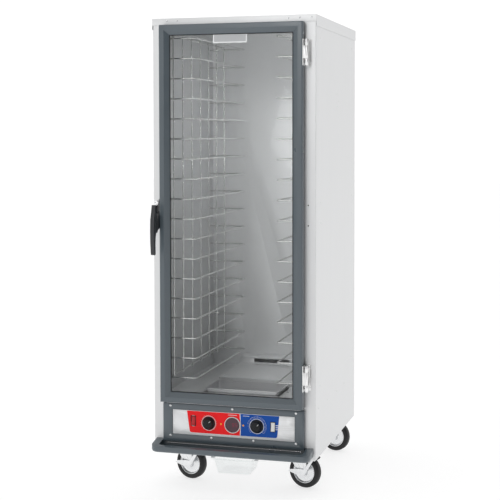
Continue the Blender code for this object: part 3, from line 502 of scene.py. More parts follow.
def piece(name, data, look, body, *stands_for):
    """A visible piece that rides on a body and stands for CAD nodes."""
    made = bpy.data.objects.new(name, data)
    bpy.context.scene.collection.objects.link(made)
    data.materials.clear()
    data.materials.append(LOOKS[look])
    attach(made, body)
    if stands_for:
        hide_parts(*stands_for)
    return made


def refined(node, look, body, width, segments=3, angle=30.0):
    """A CAD node with its edges rounded."""
    shape = bevelled(cad_mesh(node), width, segments, angle)
    return piece(f"{node}_shell", shape, look, body, node)


def swept(paths, radius, closed=False):
    """Round wires along paths, as one mesh with closed ends."""
    curve = bpy.data.curves.new("wire", "CURVE")
    curve.dimensions = "3D"
    curve.bevel_depth = radius
    curve.bevel_resolution = 4
    curve.use_fill_caps = True
    for points in paths:
        spline = curve.splines.new("POLY")
        spline.points.add(len(points) - 1)
        for knot, point in zip(spline.points, points):
            knot.co = (*point, 1.0)
        spline.use_cyclic_u = closed
    bm = bmesh.new()
    bm.from_mesh(evaluated(curve))
    bmesh.ops.remove_doubles(bm, verts=bm.verts, dist=1e-6)
    return smooth(to_mesh(bm), 50.0)


def wires(name, paths, radius, bend, look, body, *stands_for):
    """Round wires along paths, with a smooth bend at each corner."""
    paths = [rounded(path, bend, 7, closed=False) for path in paths]
    return piece(name, swept(paths, radius), look, body, *stands_for)


def facing(axis, sign, centre):
    """A matrix that turns +Z to a row axis and moves to a centre."""
    direction = Vector([sign * (axis == name) for name in "XYZ"])
    return Matrix.Translation(centre) @ direction.to_track_quat("Z", "Y").to_matrix().to_4x4()


def rivet_head(radius, height):
    shares = [(0.0, 1.0), (0.35, 0.95), (0.7, 0.7), (0.95, 0.3), (1.0, 0.0), (0.0, 0.0)]
    return turned([(radius * across, height * up) for across, up in shares], 20)


def screw_head(radius, height):
    """Pan head with a cross recess."""
    head = rivet_head(radius, height)
    deep, arm, width = height * 0.45, radius * 0.55, radius * 0.12
    across = block((-arm, -width, deep), (arm, width, height * 2))
    along = block((-width, -arm, deep), (width, arm, height * 2))
    return smooth(cut(head, across, along))


# ---------------------------------------------------------------- cabinet shell
def side_panels():
    for name, side in (("left", -1), ("right", 1)):
        low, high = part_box(f"{name}_side_panel")
        flange = HALF - 0.023
        lip = FRONT + 0.020
        path = [(flange, BACK), (HALF, BACK), (HALF, FRONT), (POST_INNER, FRONT), (POST_INNER, lip)]
        path = [(side * x, y) for x, y in path]
        if side > 0:
            path.reverse()
        shape = bevelled(extruded("Z", sheet_outline(path), low.z, high.z), 0.0004, 1, 60.0)
        piece(f"{name}_side_sheet", shape, "aluminium", "cabinet", f"{name}_side_panel")


def shell_fasteners():
    """Rivets in the cap, the side panels and the rear flanges, and plugs in the spare hinge holes."""
    rivet = rivet_head(0.0031, 0.0012)
    cap_z = CAP_HIGH.z - 0.0105
    cap_x = (-0.260, -0.218, 0.212, 0.255, 0.300)
    fronts = [facing("Y", -1, (x, CAP_LOW.y, cap_z)) for x in cap_x]
    rears = [facing("Y", 1, (-x, CAP_HIGH.y, cap_z)) for x in cap_x]
    piece("cap_rivets", copies(rivet, fronts + rears), "zinc", "cabinet")
    column = [(0.303, 1.687), (-0.300, 1.686), (0.302, 1.077)]
    column += [(-0.299, 1.077), (0.302, 1.001), (-0.288, 1.001)]
    middle = [(0.010, 1.491), (0.030, 1.461), (0.007, 1.441)]
    base = [(0.155 - 0.159 * n, 0.310) for n in range(4)]
    spots = column + middle + base + [(-0.301, 0.393), (0.302, 0.393)]
    for name, side in (("left", -1), ("right", 1)):
        places = [facing("X", side, (side * HALF, BODY_Y + y, z)) for y, z in spots]
        piece(f"{name}_side_rivets", copies(rivet, places), "zinc", "cabinet")
    rows = [SKIRT_Z + 0.06 + 0.195 * n for n in range(9)]
    backs = [facing("Y", 1, (side * (HALF - 0.012), BACK, z)) for side in (-1, 1) for z in rows]
    piece("rear_rivets", copies(rivet, backs), "zinc", "cabinet")
    plug = rivet_head(0.0026, 0.0006)
    holes = [facing("Y", -1, (0.287, FRONT, z)) for z in (1.072, 0.997)]
    piece("spare_hole_plugs", copies(plug, holes), "dark_plastic", "cabinet")


def rear_louvres():
    """A pressed hood over each slot in the rear panel."""
    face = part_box("rear_panel")[1].y
    hoods = []
    for column in (-0.110, 0.110):
        for row in range(4):
            z = 0.205 + 0.020 * row
            path = [(face, z + 0.0105), (face + 0.0002, z + 0.0085), (face + 0.0016, z + 0.0005)]
            hoods.append(extruded("X", sheet_outline(path, 0.0008, 0.001), column - 0.048, column + 0.048))
    piece("rear_louvres", combined(hoods), "aluminium", "cabinet")


# ---------------------------------------------------------------- inside the cavity
def slide_racks():
    """Wire slides, uprights and the ties that join them, each side welded into one rack."""
    for name, side in (("left", -1), ("right", 1)):
        low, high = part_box(f"{name}_wire_rack")
        inner = min(abs(low.x), abs(high.x)) + SLIDE_R
        wall = max(abs(low.x), abs(high.x))
        front, back = low.y + SLIDE_R, high.y - SLIDE_R
        slides = []
        for level in range(LEVELS):
            z = TOP_LEVEL_Z - LEVEL_PITCH * level
            path = [(wall, front), (inner, front), (inner, back), (wall, back)]
            slides.append([(side * x, y, z) for x, y in path])
        wires(f"{name}_slides", slides, SLIDE_R, 0.007, "nickel_wire", "cabinet", f"{name}_wire_rack")
        pitch = (back - front - 2 * WELD_OFFSET) / (UPRIGHTS - 1)
        places = [front + WELD_OFFSET + pitch * index for index in range(UPRIGHTS)]
        stands = [[(side * UPRIGHT_X, y, low.z), (side * UPRIGHT_X, y, high.z)] for y in places]
        for z in TIE_Z:
            outer = side * (UPRIGHT_X + WELD_OFFSET)
            stands.append([(outer, places[0] - 0.005, z), (outer, places[-1] + 0.005, z)])
        wires(f"{name}_uprights", stands, UPRIGHT_R, 0.0, "nickel_wire", "cabinet")


def rounded_tray(look, node, gauge, corner, taper, rim):
    """A pressed or moulded pan with round corners, a tapered wall and a rolled rim, on its own body."""
    low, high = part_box(node)
    centre = (low + high) / 2
    half = (high - low) / 2

    def ring(inset, z, radius):
        reach_x, reach_y = half.x - inset, half.y - inset
        outline = rounded_rectangle((-reach_x, -reach_y), (reach_x, reach_y), radius)
        return [(centre.x + x, centre.y + y, z) for x, y in outline]

    wall = rim + taper
    foot = 0.004
    rings = [
        ring(wall + foot, low.z, corner - foot / 2),
        ring(wall + foot * 0.3, low.z + foot * 0.3, corner),
        ring(wall, low.z + foot, corner),
        ring(rim, high.z - 0.0026, corner),
        ring(0.0004, high.z - 0.0026, corner),
        ring(0.0, high.z - 0.0018, corner),
        ring(0.0, high.z - 0.0008, corner),
        ring(0.0006, high.z, corner),
        ring(rim, high.z, corner),
        ring(rim + gauge, high.z - 0.0008, corner - gauge),
        ring(wall + gauge, low.z + foot + gauge, corner - gauge),
        ring(wall + gauge + foot * 0.3, low.z + foot * 0.3 + gauge, corner - gauge),
        ring(wall + gauge + foot, low.z + gauge, corner - gauge - foot / 2),
    ]
    shape = evaluated(smooth(lofted(rings), 50.0), ("WEIGHTED_NORMAL", {"weight": 100, "keep_sharp": True}))
    return piece(f"{node}_shell", shape, look, node, node)


def cavity():
    refined("cavity_floor", "inner_aluminium", "cabinet", 0.0005, 2)
    refined("air_duct", "inner_aluminium", "cabinet", 0.0009, 3)
    rounded_tray("steel", "water_pan", 0.0012, 0.012, 0.003, 0.0035)
    screw = screw_head(0.0042, 0.0020)
    duct_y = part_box("air_duct")[0].y
    places = [facing("Z", 1, (x, duct_y + 0.020, 0.3455)) for x in (-0.15, 0.15)]
    places += [facing("Z", 1, (x, FRONT + 0.060, FLOOR_Z)) for x in (-0.24, 0.24, 0.165)]
    places += [facing("Z", 1, (x, FRONT + 0.240, FLOOR_Z)) for x in (-0.185, 0.150)]
    piece("cavity_screws", copies(screw, places), "zinc", "cabinet")


# ---------------------------------------------------------------- door
def door_rails():
    """Four mitred rails: a flat outer half, a slope down to the glass and a lip over it."""
    back_y, face_y = LEFT_STILE_HIGH.y, LEFT_STILE_LOW.y
    depth = back_y - face_y
    width = LEFT_STILE_HIGH.x - LEFT_STILE_LOW.x
    lap = width - (GLASS_LOW.x - LEFT_STILE_LOW.x) + 0.0004
    glass = back_y - GLASS_LOW.y + 0.0004
    profile = [
        (0.0, 0.0, 0.001),
        (width - lap, 0.0, 0.0005),
        (width - lap, glass, 0.0),
        (width, glass, 0.0005),
        (width, glass + 0.003, 0.0012),
        (width * 0.5, depth, 0.004),
        (0.0, depth, 0.0035),
    ]
    outline = rounded([point[:2] for point in profile], [point[2] for point in profile], 5)
    x0, x1 = LEFT_STILE_LOW.x, RIGHT_STILE_HIGH.x
    z0, z1 = LEFT_STILE_LOW.z, LEFT_STILE_HIGH.z
    rails = [
        ("door_left_stile", "Z", z0, z1, x0, 1),
        ("door_right_stile", "Z", z0, z1, x1, -1),
        ("door_bottom_rail", "X", x0, x1, z0, 1),
        ("door_top_rail", "X", x0, x1, z1, -1),
    ]
    for node, along, start, end, edge, inward in rails:
        mesh = extruded("Z", outline, 0.0, 1.0)
        for vert in mesh.vertices:
            across, out, which = vert.co
            place = start + across + HAIR / 2 if which < 0.5 else end - across - HAIR / 2
            sideways = edge + inward * across
            y = back_y - out
            vert.co = (sideways, y, place) if along == "Z" else (place, y, sideways)
        bm = bmesh.new()
        bm.from_mesh(mesh)
        piece(f"{node}_moulding", smooth(to_mesh(bm), 40.0), "grey_plastic", "door", node)


def door():
    door_rails()
    shape = bevelled(cad_mesh("door_window"), 0.0005, 2)
    piece("door_window_sheet", shape, "window", "door", "door_window")
    low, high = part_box("door_gasket")
    lip = 0.012
    opening = block((low.x + lip, low.y - 0.01, low.z + lip), (high.x - lip, high.y + 0.01, high.z - lip))
    shape = bevelled(cut(block(low, high), opening), 0.0024, 3, 60.0)
    piece("door_gasket_bead", shape, "rubber", "door", "door_gasket")
    # Painted shade: the black rubber seal round the glass is drawn thicker than the real seal, so that it
    # also stands in for the shadow line under the rails' lip.
    inner = (LEFT_STILE_HIGH.x + 0.0012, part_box("door_bottom_rail")[1].z + 0.0012)
    outer = (RIGHT_STILE_LOW.x - 0.0012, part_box("door_top_rail")[0].z - 0.0012)
    line = [(x, GLASS_LOW.y - 0.0022, z) for x, z in rounded_rectangle(inner, outer, 0.002, 4)]
    piece("window_seal", swept([line], 0.0020, closed=True), "rubber", "door")
    badge()


def badge():
    """A blank plate on the window, with a raised edge."""
    x0, x1, z0, z1 = -0.070, 0.061, 1.6708, 1.7046
    y = GLASS_LOW.y - HAIR
    plate = extruded("Y", upright(rounded_rectangle((x0, z0), (x1, z1), 0.003)), y - 0.0012, y)
    piece("name_plate", bevelled(plate, 0.0005, 2), "label", "door")
    rim = 0.004
    inside = rounded_rectangle((x0 + rim, z0 + rim), (x1 - rim, z1 - rim), 0.002)
    field = extruded("Y", upright(inside), y - 0.0016, y - 0.0013)
    piece("name_plate_field", field, "label_grey", "door")


def hinges():
    head = rivet_head(0.0036, 0.0014)
    rivet = rivet_head(0.0024, 0.0012)
    screw = screw_head(0.0034, 0.0016)
    for level in ("upper", "lower"):
        cabinet_leaf = f"{level}_hinge_cabinet_leaf"
        door_leaf = f"{level}_hinge_door_leaf"
        low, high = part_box(cabinet_leaf)
        refined(cabinet_leaf, "hinge_steel", "cabinet", 0.0006, 2)
        refined(door_leaf, "hinge_steel", "door", 0.0005, 2)
        caps = [facing("Z", 1, (*HINGE_PIN, high.z)), facing("Z", -1, (*HINGE_PIN, low.z))]
        piece(f"{level}_hinge_pin_heads", copies(head, caps), "chrome", "cabinet")
        heights = [low.z + share * (high.z - low.z) for share in (0.12, 0.5, 0.88)]
        places = [facing("Y", -1, (0.2950, FRONT - 0.0025, z)) for z in heights]
        piece(f"{level}_hinge_screws", copies(rivet, places), "zinc", "cabinet")
        edge_x = RIGHT_STILE_HIGH.x + 0.0024
        places = [facing("X", 1, (edge_x, FRONT - 0.0165, z)) for z in (low.z + 0.010, high.z - 0.010)]
        piece(f"{level}_hinge_edge_screws", copies(screw, places), "zinc", "door")
    plug = facing("X", 1, (RIGHT_STILE_HIGH.x, FRONT - 0.024, 1.700))
    piece("door_edge_screw", copies(screw, [plug]), "zinc", "door")


def latch():
    refined("latch_housing", "latch_plastic", "door", 0.0016, 3)
    refined("latch_lever", "latch_plastic", "latch_lever", 0.0022, 4)
    refined("latch_strike", "chrome", "cabinet", 0.0006, 2)
    low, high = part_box("latch_strike")
    places = [facing("Y", -1, (-0.3103, FRONT - 0.0024, z)) for z in (low.z + 0.008, high.z - 0.008)]
    piece("strike_screws", copies(rivet_head(0.0026, 0.0014), places), "zinc", "cabinet")


# ---------------------------------------------------------------- module and its panel
def film(name, outlines, level, look, *holes):
    """Printed areas on the label. Each level lies just in front of the one before."""
    y = LABEL_LOW.y - 0.00012 * (level - 1)
    shapes = [extruded("Y", upright(outline), y - 0.0001, y) for outline in outlines]
    return piece(name, cut(combined(shapes), *holes), look, "cabinet")


def rocker_opening(name):
    """The opening for a rocker button, through the label and the button's bezel."""
    low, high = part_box(f"{name}_rocker")
    middle = joint(f"{name}_switch")["pos_m"][2]
    reach = max(middle - low.z, high.z - middle) + 0.0007
    near = (low.x - 0.0005, LABEL_LOW.y - 0.01, middle - reach)
    return block(near, (high.x + 0.0005, LABEL_HIGH.y + 0.01, middle + reach))


def arc_band(cx, cz, inner, outer, first, last, steps=48):
    """Outline of a flat band between two radii, from one clock angle in degrees to another."""
    angles = [math.radians(first + (last - first) * step / steps) for step in range(steps + 1)]
    outer_side = [(cx + outer * math.sin(a), cz + outer * math.cos(a)) for a in angles]
    inner_side = [(cx + inner * math.sin(a), cz + inner * math.cos(a)) for a in reversed(angles)]
    return outer_side + inner_side


def ticks(cx, cz, inner, outer, width, first, last, count):
    marks = []
    for index in range(count):
        angle = math.radians(first + (last - first) * index / (count - 1))
        out = Vector((math.sin(angle), math.cos(angle)))
        side = Vector((out.y, -out.x)) * width / 2
        centre = Vector((cx, cz))
        near, far = centre + out * inner, centre + out * outer
        marks.append([near - side, far - side, far + side, near + side])
    return marks


def control_panel():
    refined("control_panel", "grey_plastic", "cabinet", 0.0009, 2)
    refined("label_plate", "label", "cabinet", 0.0002, 1, 60.0)
    screw = screw_head(0.0050, 0.0026)
    top, bottom = PANEL_HIGH.z - 0.0100, PANEL_LOW.z + 0.0231
    spots = [(x, top) for x in (-0.2450, 0.0, 0.2450)]
    spots += [(x, bottom) for x in (-0.2450, -0.082, 0.082, 0.2450)]
    places = [facing("Y", -1, (x, PANEL_LOW.y, z)) for x, z in spots]
    piece("control_panel_screws", copies(screw, places), "hinge_steel", "cabinet")
    # Painted highlight: a thin chrome bead along the panel's top front edge stands in for the bright
    # highlight line between the door and the panel.
    ends = (PANEL_LOW.x + 0.014, PANEL_HIGH.x - 0.014)
    bead = [(x, PANEL_LOW.y + 0.0030, PANEL_HIGH.z + 0.0009) for x in ends]
    wires("panel_top_bead", [bead], 0.0009, 0.0, "chrome", "cabinet")
    print_label()
    for name in ("thermostat", "humidity"):
        knob(name)
    thermometer()
    switches()
    for name in ("heating_light", "humidity_light"):
        refined(name, "amber_lens", "cabinet", 0.0002, 2)


def print_label():
    """Red and blue areas, stripes, dial rings and scales, and a short bar where each word would be."""
    z0, z1 = 0.2062, 0.2885
    red = [(-0.1795, z1), (-0.1680, z0), (0.0290, z0 - 0.0005), (0.0310, 0.2450), (0.0285, z1)]
    red = rounded(red, [0.001, 0.010, 0.001, 0.12, 0.001], 8)
    film("label_red_area", [red], 1, "label_red", rocker_opening("power"))
    blue = [(0.0310, z1), (0.0335, 0.2450), (0.0315, z0 - 0.0005), (0.1735, z0), (0.1815, z1)]
    blue = rounded(blue, [0.001, 0.12, 0.001, 0.010, 0.002], 8)
    film("label_blue_area", [blue], 1, "label_blue", rocker_opening("mode"))
    runs = [(z, 0.1672, 0.0013) for z in (0.2530, 0.2455, 0.2380)]
    runs += [(z, 0.1950, 0.0009) for z in (0.2820, 0.2745, 0.2670, 0.2230, 0.2155, 0.2080)]
    stripes = [rectangle(left, LABEL_HIGH.x, z - half, z + half) for z, left, half in runs]
    film("label_stripes", stripes, 2, "label_white")
    rings = [arc_band(x, CONTROL_Z, 0.0266, 0.0284, 0.0, 359.9, 72) for x in (THERMOSTAT_X, HUMIDITY_X)]
    film("knob_rings", rings, 2, "label_white")
    scale = ticks(THERMOSTAT_X, CONTROL_Z, 0.0305, 0.0322, 0.0007, -135, 135, 19)
    scale += ticks(HUMIDITY_X, CONTROL_Z, 0.0310, 0.0345, 0.0008, -135, 135, 28)
    scale.append(arc_band(HUMIDITY_X, CONTROL_Z, 0.0362, 0.0367, -80, 135, 48))
    film("dial_scales", scale, 2, "label_pale")
    spots = [(POWER_X, 0.2710, 0.010), (POWER_X, 0.2310, 0.010)]
    spots += [(0.001, 0.2815, 0.034), (0.054, 0.2815, 0.024)]
    bars = [rectangle(x - width / 2, x + width / 2, z - 0.0009, z + 0.0009) for x, z, width in spots]
    film("label_bars", bars, 2, "label_pale")


def knob(name):
    """Fluted knob with a grip bar and a white pointer, drawn with its pointer at half past one."""
    low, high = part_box(f"{name}_knob")
    cx, cz = (low.x + high.x) / 2, (low.z + high.z) / 2
    back = LABEL_LOW.y - 0.0006
    top = back - low.y - 0.0004
    profile = [
        (0.0, 0.0165),
        (0.0160, 0.0165),
        (0.0176, 0.0158),
        (0.0184, 0.0142),
        (0.0200, 0.0060),
        (0.0212, 0.0046),
        (0.0244, 0.0036),
        (0.0252, 0.0026),
        (0.0252, 0.0004),
        (0.0, 0.0004),
    ]
    mesh = turned(profile, 96)
    for vert in mesh.vertices:
        radius = math.hypot(vert.co.x, vert.co.y)
        if 0.0172 < radius < 0.0205 and vert.co.z > 0.005:
            shrink = 1.0 - 0.0005 * (1.0 + math.cos(24 * math.atan2(vert.co.y, vert.co.x))) / radius
            vert.co.x *= shrink
            vert.co.y *= shrink
    bar = bevelled(block((-0.0034, -0.0168, 0.0120), (0.0034, 0.0168, top)), 0.0010, 3)
    turn = Matrix.Rotation(math.radians(45), 4, "Y") @ Matrix.Rotation(math.radians(90), 4, "X")
    place = Matrix.Translation((cx, back, cz)) @ turn
    shape = combined([mesh, bar])
    shape.transform(place)
    piece(f"{name}_knob_cap", smooth(shape, 40.0), "dark_plastic", f"{name}_knob", f"{name}_knob")
    tip = block((-0.0007, 0.0080, top + 0.00005), (0.0007, 0.0166, top + 0.0003))
    tip.transform(place)
    piece(f"{name}_knob_pointer", tip, "label_white", f"{name}_knob")


def thermometer():
    """Round dark face with a white ring, and dim segments on it."""
    low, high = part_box("thermometer")
    cx, cz = (low.x + high.x) / 2, (low.z + high.z) / 2
    back = high.y
    place = Matrix.Translation((cx, back, cz)) @ Matrix.Rotation(math.radians(90), 4, "X")
    face = turned([(0.0, 0.0030), (0.0278, 0.0030), (0.0282, 0.0026), (0.0282, 0.0), (0.0, 0.0)], 64)
    face.transform(place)
    piece("thermometer_face", face, "display", "cabinet", "thermometer")
    section = [(0.0284, 0.0), (0.0284, 0.0046), (0.0289, 0.0052), (0.0299, 0.0052)]
    section += [(0.0307, 0.0046), (0.0310, 0.0036), (0.0310, 0.0)]
    ring = turned(section, 72)
    ring.transform(place)
    piece("thermometer_ring", ring, "white_plastic", "cabinet")
    digits = []
    lit = {"9": "abcdfg", "5": "acdfg"}
    for offset, figure in ((-0.0010, "9"), (0.0110, "5")):
        digits += figure_segments(cx + offset, cz - 0.0065, 0.0075, 0.0135, lit[figure])
    shapes = [extruded("Y", upright(outline), back - 0.0034, back - 0.0031) for outline in digits]
    piece("thermometer_digits", combined(shapes), "digit", "cabinet")


def figure_segments(x, z, width, height, lit):
    """Outlines of a figure's lit segments, a to g."""
    t = 0.0011
    middle = z + height / 2
    bars = {
        "a": (x, z + height - t, x + width, z + height),
        "b": (x + width - t, middle, x + width, z + height),
        "c": (x + width - t, z, x + width, middle),
        "d": (x, z, x + width, z + t),
        "e": (x, z, x + t, middle),
        "f": (x, middle, x + t, z + height),
        "g": (x, middle - t / 2, x + width, middle + t / 2),
    }
    pad = 0.0002
    outlines = []
    for key in lit:
        x0, z0, x1, z1 = bars[key]
        outlines.append(rectangle(x0 + pad, x1 - pad, z0 + pad, z1 - pad))
    return outlines


def switches():
    """Rocker buttons in their bezels."""
    for name, look in (("power", "red_plastic"), ("mode", "white_plastic")):
        low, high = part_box(f"{name}_rocker")
        refined(f"{name}_rocker", look, f"{name}_rocker", 0.0006, 3)
        x0, x1, z0, z1 = low.x - 0.0024, high.x + 0.0024, low.z - 0.0030, high.z + 0.0030
        outer = upright(rounded_rectangle((x0, z0), (x1, z1), 0.0015))
        y = LABEL_LOW.y - HAIR
        frame_shape = extruded("Y", outer, y - 0.0014, y)
        bezel = bevelled(cut(frame_shape, rocker_opening(name)), 0.0004, 2)
        piece(f"{name}_rocker_bezel", bezel, "dark_plastic", "cabinet")


def module():
    refined("module_housing", "steel", "cabinet", 0.0005, 2)
    refined("blower_housing", "steel", "cabinet", 0.0008, 2)
    refined("blower_wheel", "dark_plastic", "blower_wheel", 0.0004, 2)
    refined("power_inlet", "dark_plastic", "cabinet", 0.0006, 2)
    low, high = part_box("heating_element")
    z, radius = (low.z + high.z) / 2, 0.0034
    y0, y1, tail = FRONT + 0.190, FRONT + 0.320, FRONT + 0.380
    path = [(-0.120, tail), (-0.120, y0), (-0.040, y0), (-0.040, y1)]
    path += [(0.040, y1), (0.040, y0), (0.100, y0), (0.100, tail)]
    path = [(x, y, z) for x, y in path]
    wires("heater_tube", [path], radius, 0.020, "element", "cabinet", "heating_element")
    spots = [(-0.0055, INLET_Z - 0.002), (0.0055, INLET_Z - 0.002), (0.0, INLET_Z + 0.003)]
    pins = [rod("Y", (z, x), BACK - 0.017, BACK - 0.004, 0.0012, 12) for x, z in spots]
    piece("inlet_pins", combined(pins), "chrome", "cabinet")


# ---------------------------------------------------------------- below the body
def trough():
    """Moulded bumper with round ends, a sloping rim and a channel."""
    low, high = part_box("drip_trough")
    outline = rounded_rectangle((low.x, low.y), (high.x, FRONT + 0.03), 0.030, 10)
    bar = bevelled(extruded("Z", outline, low.z, TROUGH_TOP), 0.0120, 6, 60.0)
    front = low.y
    slope = [(front - 0.01, 0.1565), (FRONT + 0.04, 0.1800), (FRONT + 0.04, 0.22), (front - 0.01, 0.22)]
    inner = high.x - 0.028
    channel = rounded_rectangle((-inner, front + 0.018), (inner, FRONT - 0.005), 0.014, 6)
    panel_near = (PANEL_LOW.x - 0.0004, FRONT - 0.0250, PANEL_LOW.z - 0.0004)
    panel = block(panel_near, (PANEL_HIGH.x + 0.0004, FRONT + 0.02, 0.25))
    shape = cut(
        bar,
        block((-0.4, FRONT - 0.0004, 0.10), (0.4, FRONT + 0.06, 0.25)),
        extruded("X", slope, -0.4, 0.4),
        extruded("Z", channel, low.z + 0.006, 0.25),
        panel,
        rod("Z", (0.0, front + 0.045), 0.10, 0.20, 0.006, 24),
    )
    piece("drip_trough_moulding", bevelled(shape, 0.0022, 3, 50.0), "grey_plastic", "cabinet", "drip_trough")
    # Painted highlight: a thin chrome rod along the channel stands in for the bright highlight line seen
    # there.
    channel_highlight = [(-inner + 0.018, FRONT - 0.0110, 0.1600), (inner - 0.018, FRONT - 0.0110, 0.1600)]
    wires("trough_strip", [channel_highlight], 0.0013, 0.0, "chrome", "cabinet")


def pans():
    refined("pan_bracket", "aluminium", "cabinet", 0.0004, 1)
    rounded_tray("clear_plastic", "condensate_pan", 0.0022, 0.016, 0.011, 0.011)


# ---------------------------------------------------------------- casters
def caster_frame(name):
    """Matrix of a wheel: its centre, with local Y on the axle and local X trailing."""
    spin = joint(f"{name}_wheel_spin")
    axle = Vector(spin["axis"]).normalized()
    trailing = axle.cross(Vector((0, 0, 1)))
    turn = Matrix((trailing, axle, Vector((0, 0, 1)))).transposed().to_4x4()
    return Matrix.Translation(spin["pos_m"]) @ turn


def wheel_meshes(radius):
    half = 0.016
    hub = 0.0177
    rim = [
        (0.0062, hub),
        (0.0128, hub),
        (0.0138, hub - 0.0010),
        (0.0150, 0.0105),
        (0.0172, 0.0080),
        (0.0200, 0.0072),
        (0.0345, 0.0062),
        (0.0385, 0.0070),
        (0.0405, 0.0100),
        (0.0412, 0.0132),
        (0.0420, 0.0140),
        (0.0438, 0.0138),
    ]
    rim += [(r, -y) for r, y in reversed(rim)]
    tyre = [
        (0.0442, half - 0.0012),
        (0.0460, half - 0.0004),
        (0.0535, half),
        (0.0580, half - 0.0012),
        (0.0610, half - 0.0046),
        (radius - 0.0003, half - 0.0080),
        (radius, half - 0.0110),
    ]
    tyre += [(r, -y) for r, y in reversed(tyre)]
    lay = Matrix.Rotation(math.radians(90), 4, "X")
    meshes = []
    for profile in (rim, tyre):
        shape = turned(profile, 72)
        shape.transform(lay)
        meshes.append(shape)
    return meshes


def casters():
    for row in ("front", "rear"):
        for column in ("left", "right"):
            caster(f"{row}_{column}", row == "front")


def caster(name, braked):
    place = caster_frame(name)
    centre = place.translation
    rim, tyre = wheel_meshes(centre.z)
    for shape in (rim, tyre):
        shape.transform(place)
    piece(f"{name}_rim", rim, "zinc", f"{name}_wheel", f"{name}_caster_rim")
    piece(f"{name}_tyre", tyre, "tyre_rubber", f"{name}_wheel", f"{name}_caster_tyre")
    refined(f"{name}_caster_fork", "zinc", f"{name}_swivel", 0.0006, 2)
    refined(f"{name}_caster_plate", "zinc", "cabinet", 0.0006, 2)
    low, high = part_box(f"{name}_caster_plate")
    middle = (low + high) / 2
    bolt = turned([(0.0, -0.0050), (0.0062, -0.0050), (0.0070, -0.0040), (0.0070, 0.0), (0.0, 0.0)], 6)
    corners = [(sx * 0.030, sy * 0.024) for sx in (-1, 1) for sy in (-1, 1)]
    places = [Matrix.Translation((middle.x + x, middle.y + y, high.z - 0.0032)) for x, y in corners]
    piece(f"{name}_plate_bolts", copies(bolt, places), "zinc", "cabinet")
    if braked:
        refined(f"{name}_brake_lever", "zinc", f"{name}_brake", 0.0006, 2)
        pad = bevelled(block((0.0385, -0.0255, 0.0520), (0.0565, 0.0145, 0.0610)), 0.0018, 3)
        starts = [0.0385 + 0.004 * n for n in range(5)]
        ribs = [block((x, -0.0250, 0.0605), (x + 0.0015, 0.0140, 0.0622)) for x in starts]
        shape = combined([pad, *ribs])
        hub = Matrix.Translation((0.0475, 0, 0.0565))
        shape.transform(place @ hub @ Matrix.Rotation(math.radians(38), 4, "Y") @ hub.inverted())
        piece(f"{name}_brake_pad", shape, "rubber", f"{name}_brake")


# ---------------------------------------------------------------- stage, light and camera
def stage():
    bm = bmesh.new()
    bmesh.ops.create_grid(bm, x_segments=1, y_segments=1, size=30.0)
    floor = bpy.data.objects.new("floor", to_mesh(bm))
    bpy.context.scene.collection.objects.link(floor)
    graph = Graph("pale_floor")
    cloud = graph.noise(1.5, 2.0)
    shade = graph.blend(graph.between(cloud, 0.0, 1.0), (0.39, 0.39, 0.39), (0.41, 0.41, 0.41))
    graph.set(Base_Color=shade, Roughness=0.9, Emission_Color=(1.0, 1.0, 1.0), Emission_Strength=0.70)
    floor.data.materials.append(graph.material)


def area_light(name, place, target, size, power):
    data = bpy.data.lights.new(name, "AREA")
    data.shape = "RECTANGLE"
    data.size, data.size_y = size
    data.energy = power
    light = bpy.data.objects.new(name, data)
    light.location = place
    light.rotation_euler = (Vector(target) - Vector(place)).to_track_quat("-Z", "Y").to_euler()
    bpy.context.scene.collection.objects.link(light)


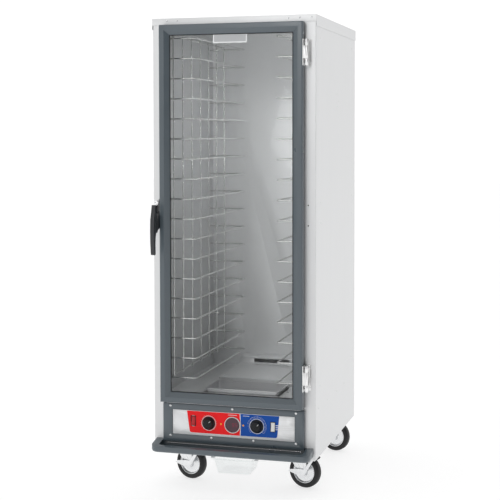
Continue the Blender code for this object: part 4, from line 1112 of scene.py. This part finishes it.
def studio():
    """A white studio, bright behind the object and to the left and darker in front of it on the right."""
    world = bpy.data.worlds.new("studio")
    world.use_nodes = True
    tree = world.node_tree
    background = tree.nodes["Background"]
    background.inputs["Color"].default_value = (1.0, 1.0, 1.0, 1.0)
    direction = tree.nodes.new("ShaderNodeTexCoord").outputs["Generated"]
    split = tree.nodes.new("ShaderNodeSeparateXYZ")
    tree.links.new(direction, split.inputs[0])

    def spread(axis, start, end, low, high):
        node = tree.nodes.new("ShaderNodeMapRange")
        tree.links.new(split.outputs[axis], node.inputs["Value"])
        for key, value in (("From Min", start), ("From Max", end), ("To Min", low), ("To Max", high)):
            node.inputs[key].default_value = value
        return node.outputs["Result"]

    def mixed(factor, first, second):
        node = tree.nodes.new("ShaderNodeMix")
        for socket, value in zip((node.inputs[0], node.inputs[2], node.inputs[3]), (factor, first, second)):
            if isinstance(value, float):
                socket.default_value = value
            else:
                tree.links.new(value, socket)
        return node.outputs[0]

    front = spread("X", -0.50, 0.50, 0.84, 0.10)
    around = mixed(spread("Y", -0.3, 0.3, 0.0, 1.0), front, 0.96)
    seen = tree.nodes.new("ShaderNodeLightPath").outputs["Is Camera Ray"]
    tree.links.new(mixed(seen, around, 1.1), background.inputs["Strength"])
    bpy.context.scene.world = world
    bpy.context.scene.view_settings.view_transform = "Standard"
    area_light("overhead", (0.0, -1.2, 4.2), (0.0, 0.0, 0.0), (4.0, 4.0), 10.0)
    area_light("key_box", (-0.35, -4.4, 2.6), (0.0, 0.4, 1.2), (0.9, 0.9), 19.0)
    area_light("cavity_fill", (0.236, FRONT + 0.026, 1.42), (0.14, BACK, 1.42), (0.02, 0.60), 1.15)


def camera():
    data = bpy.data.cameras.new("camera")
    data.lens = 86.45
    data.sensor_width = 36.0
    data.shift_x = 0.00663
    data.shift_y = -0.1239
    made = bpy.data.objects.new("camera", data)
    made.location = (1.2859, -4.6072, 1.3341)
    made.rotation_euler = (math.pi / 2 - 0.045, 0.0016, 0.2803)
    bpy.context.scene.collection.objects.link(made)
    bpy.context.scene.camera = made


# ---------------------------------------------------------------- the whole object
side_panels()
refined("top_panel", "aluminium", "cabinet", 0.0012, 3)
shell_fasteners()
rear_louvres()
refined("rear_panel", "inner_aluminium", "cabinet", 0.0004, 2)
refined("header_channel", "aluminium", "cabinet", 0.0005, 2)
for rail in ("left_chassis_rail", "right_chassis_rail"):
    refined(rail, "steel", "cabinet", 0.0010, 3)
slide_racks()
cavity()
door()
hinges()
latch()
control_panel()
module()
trough()
pans()
casters()
stage()
studio()
camera()
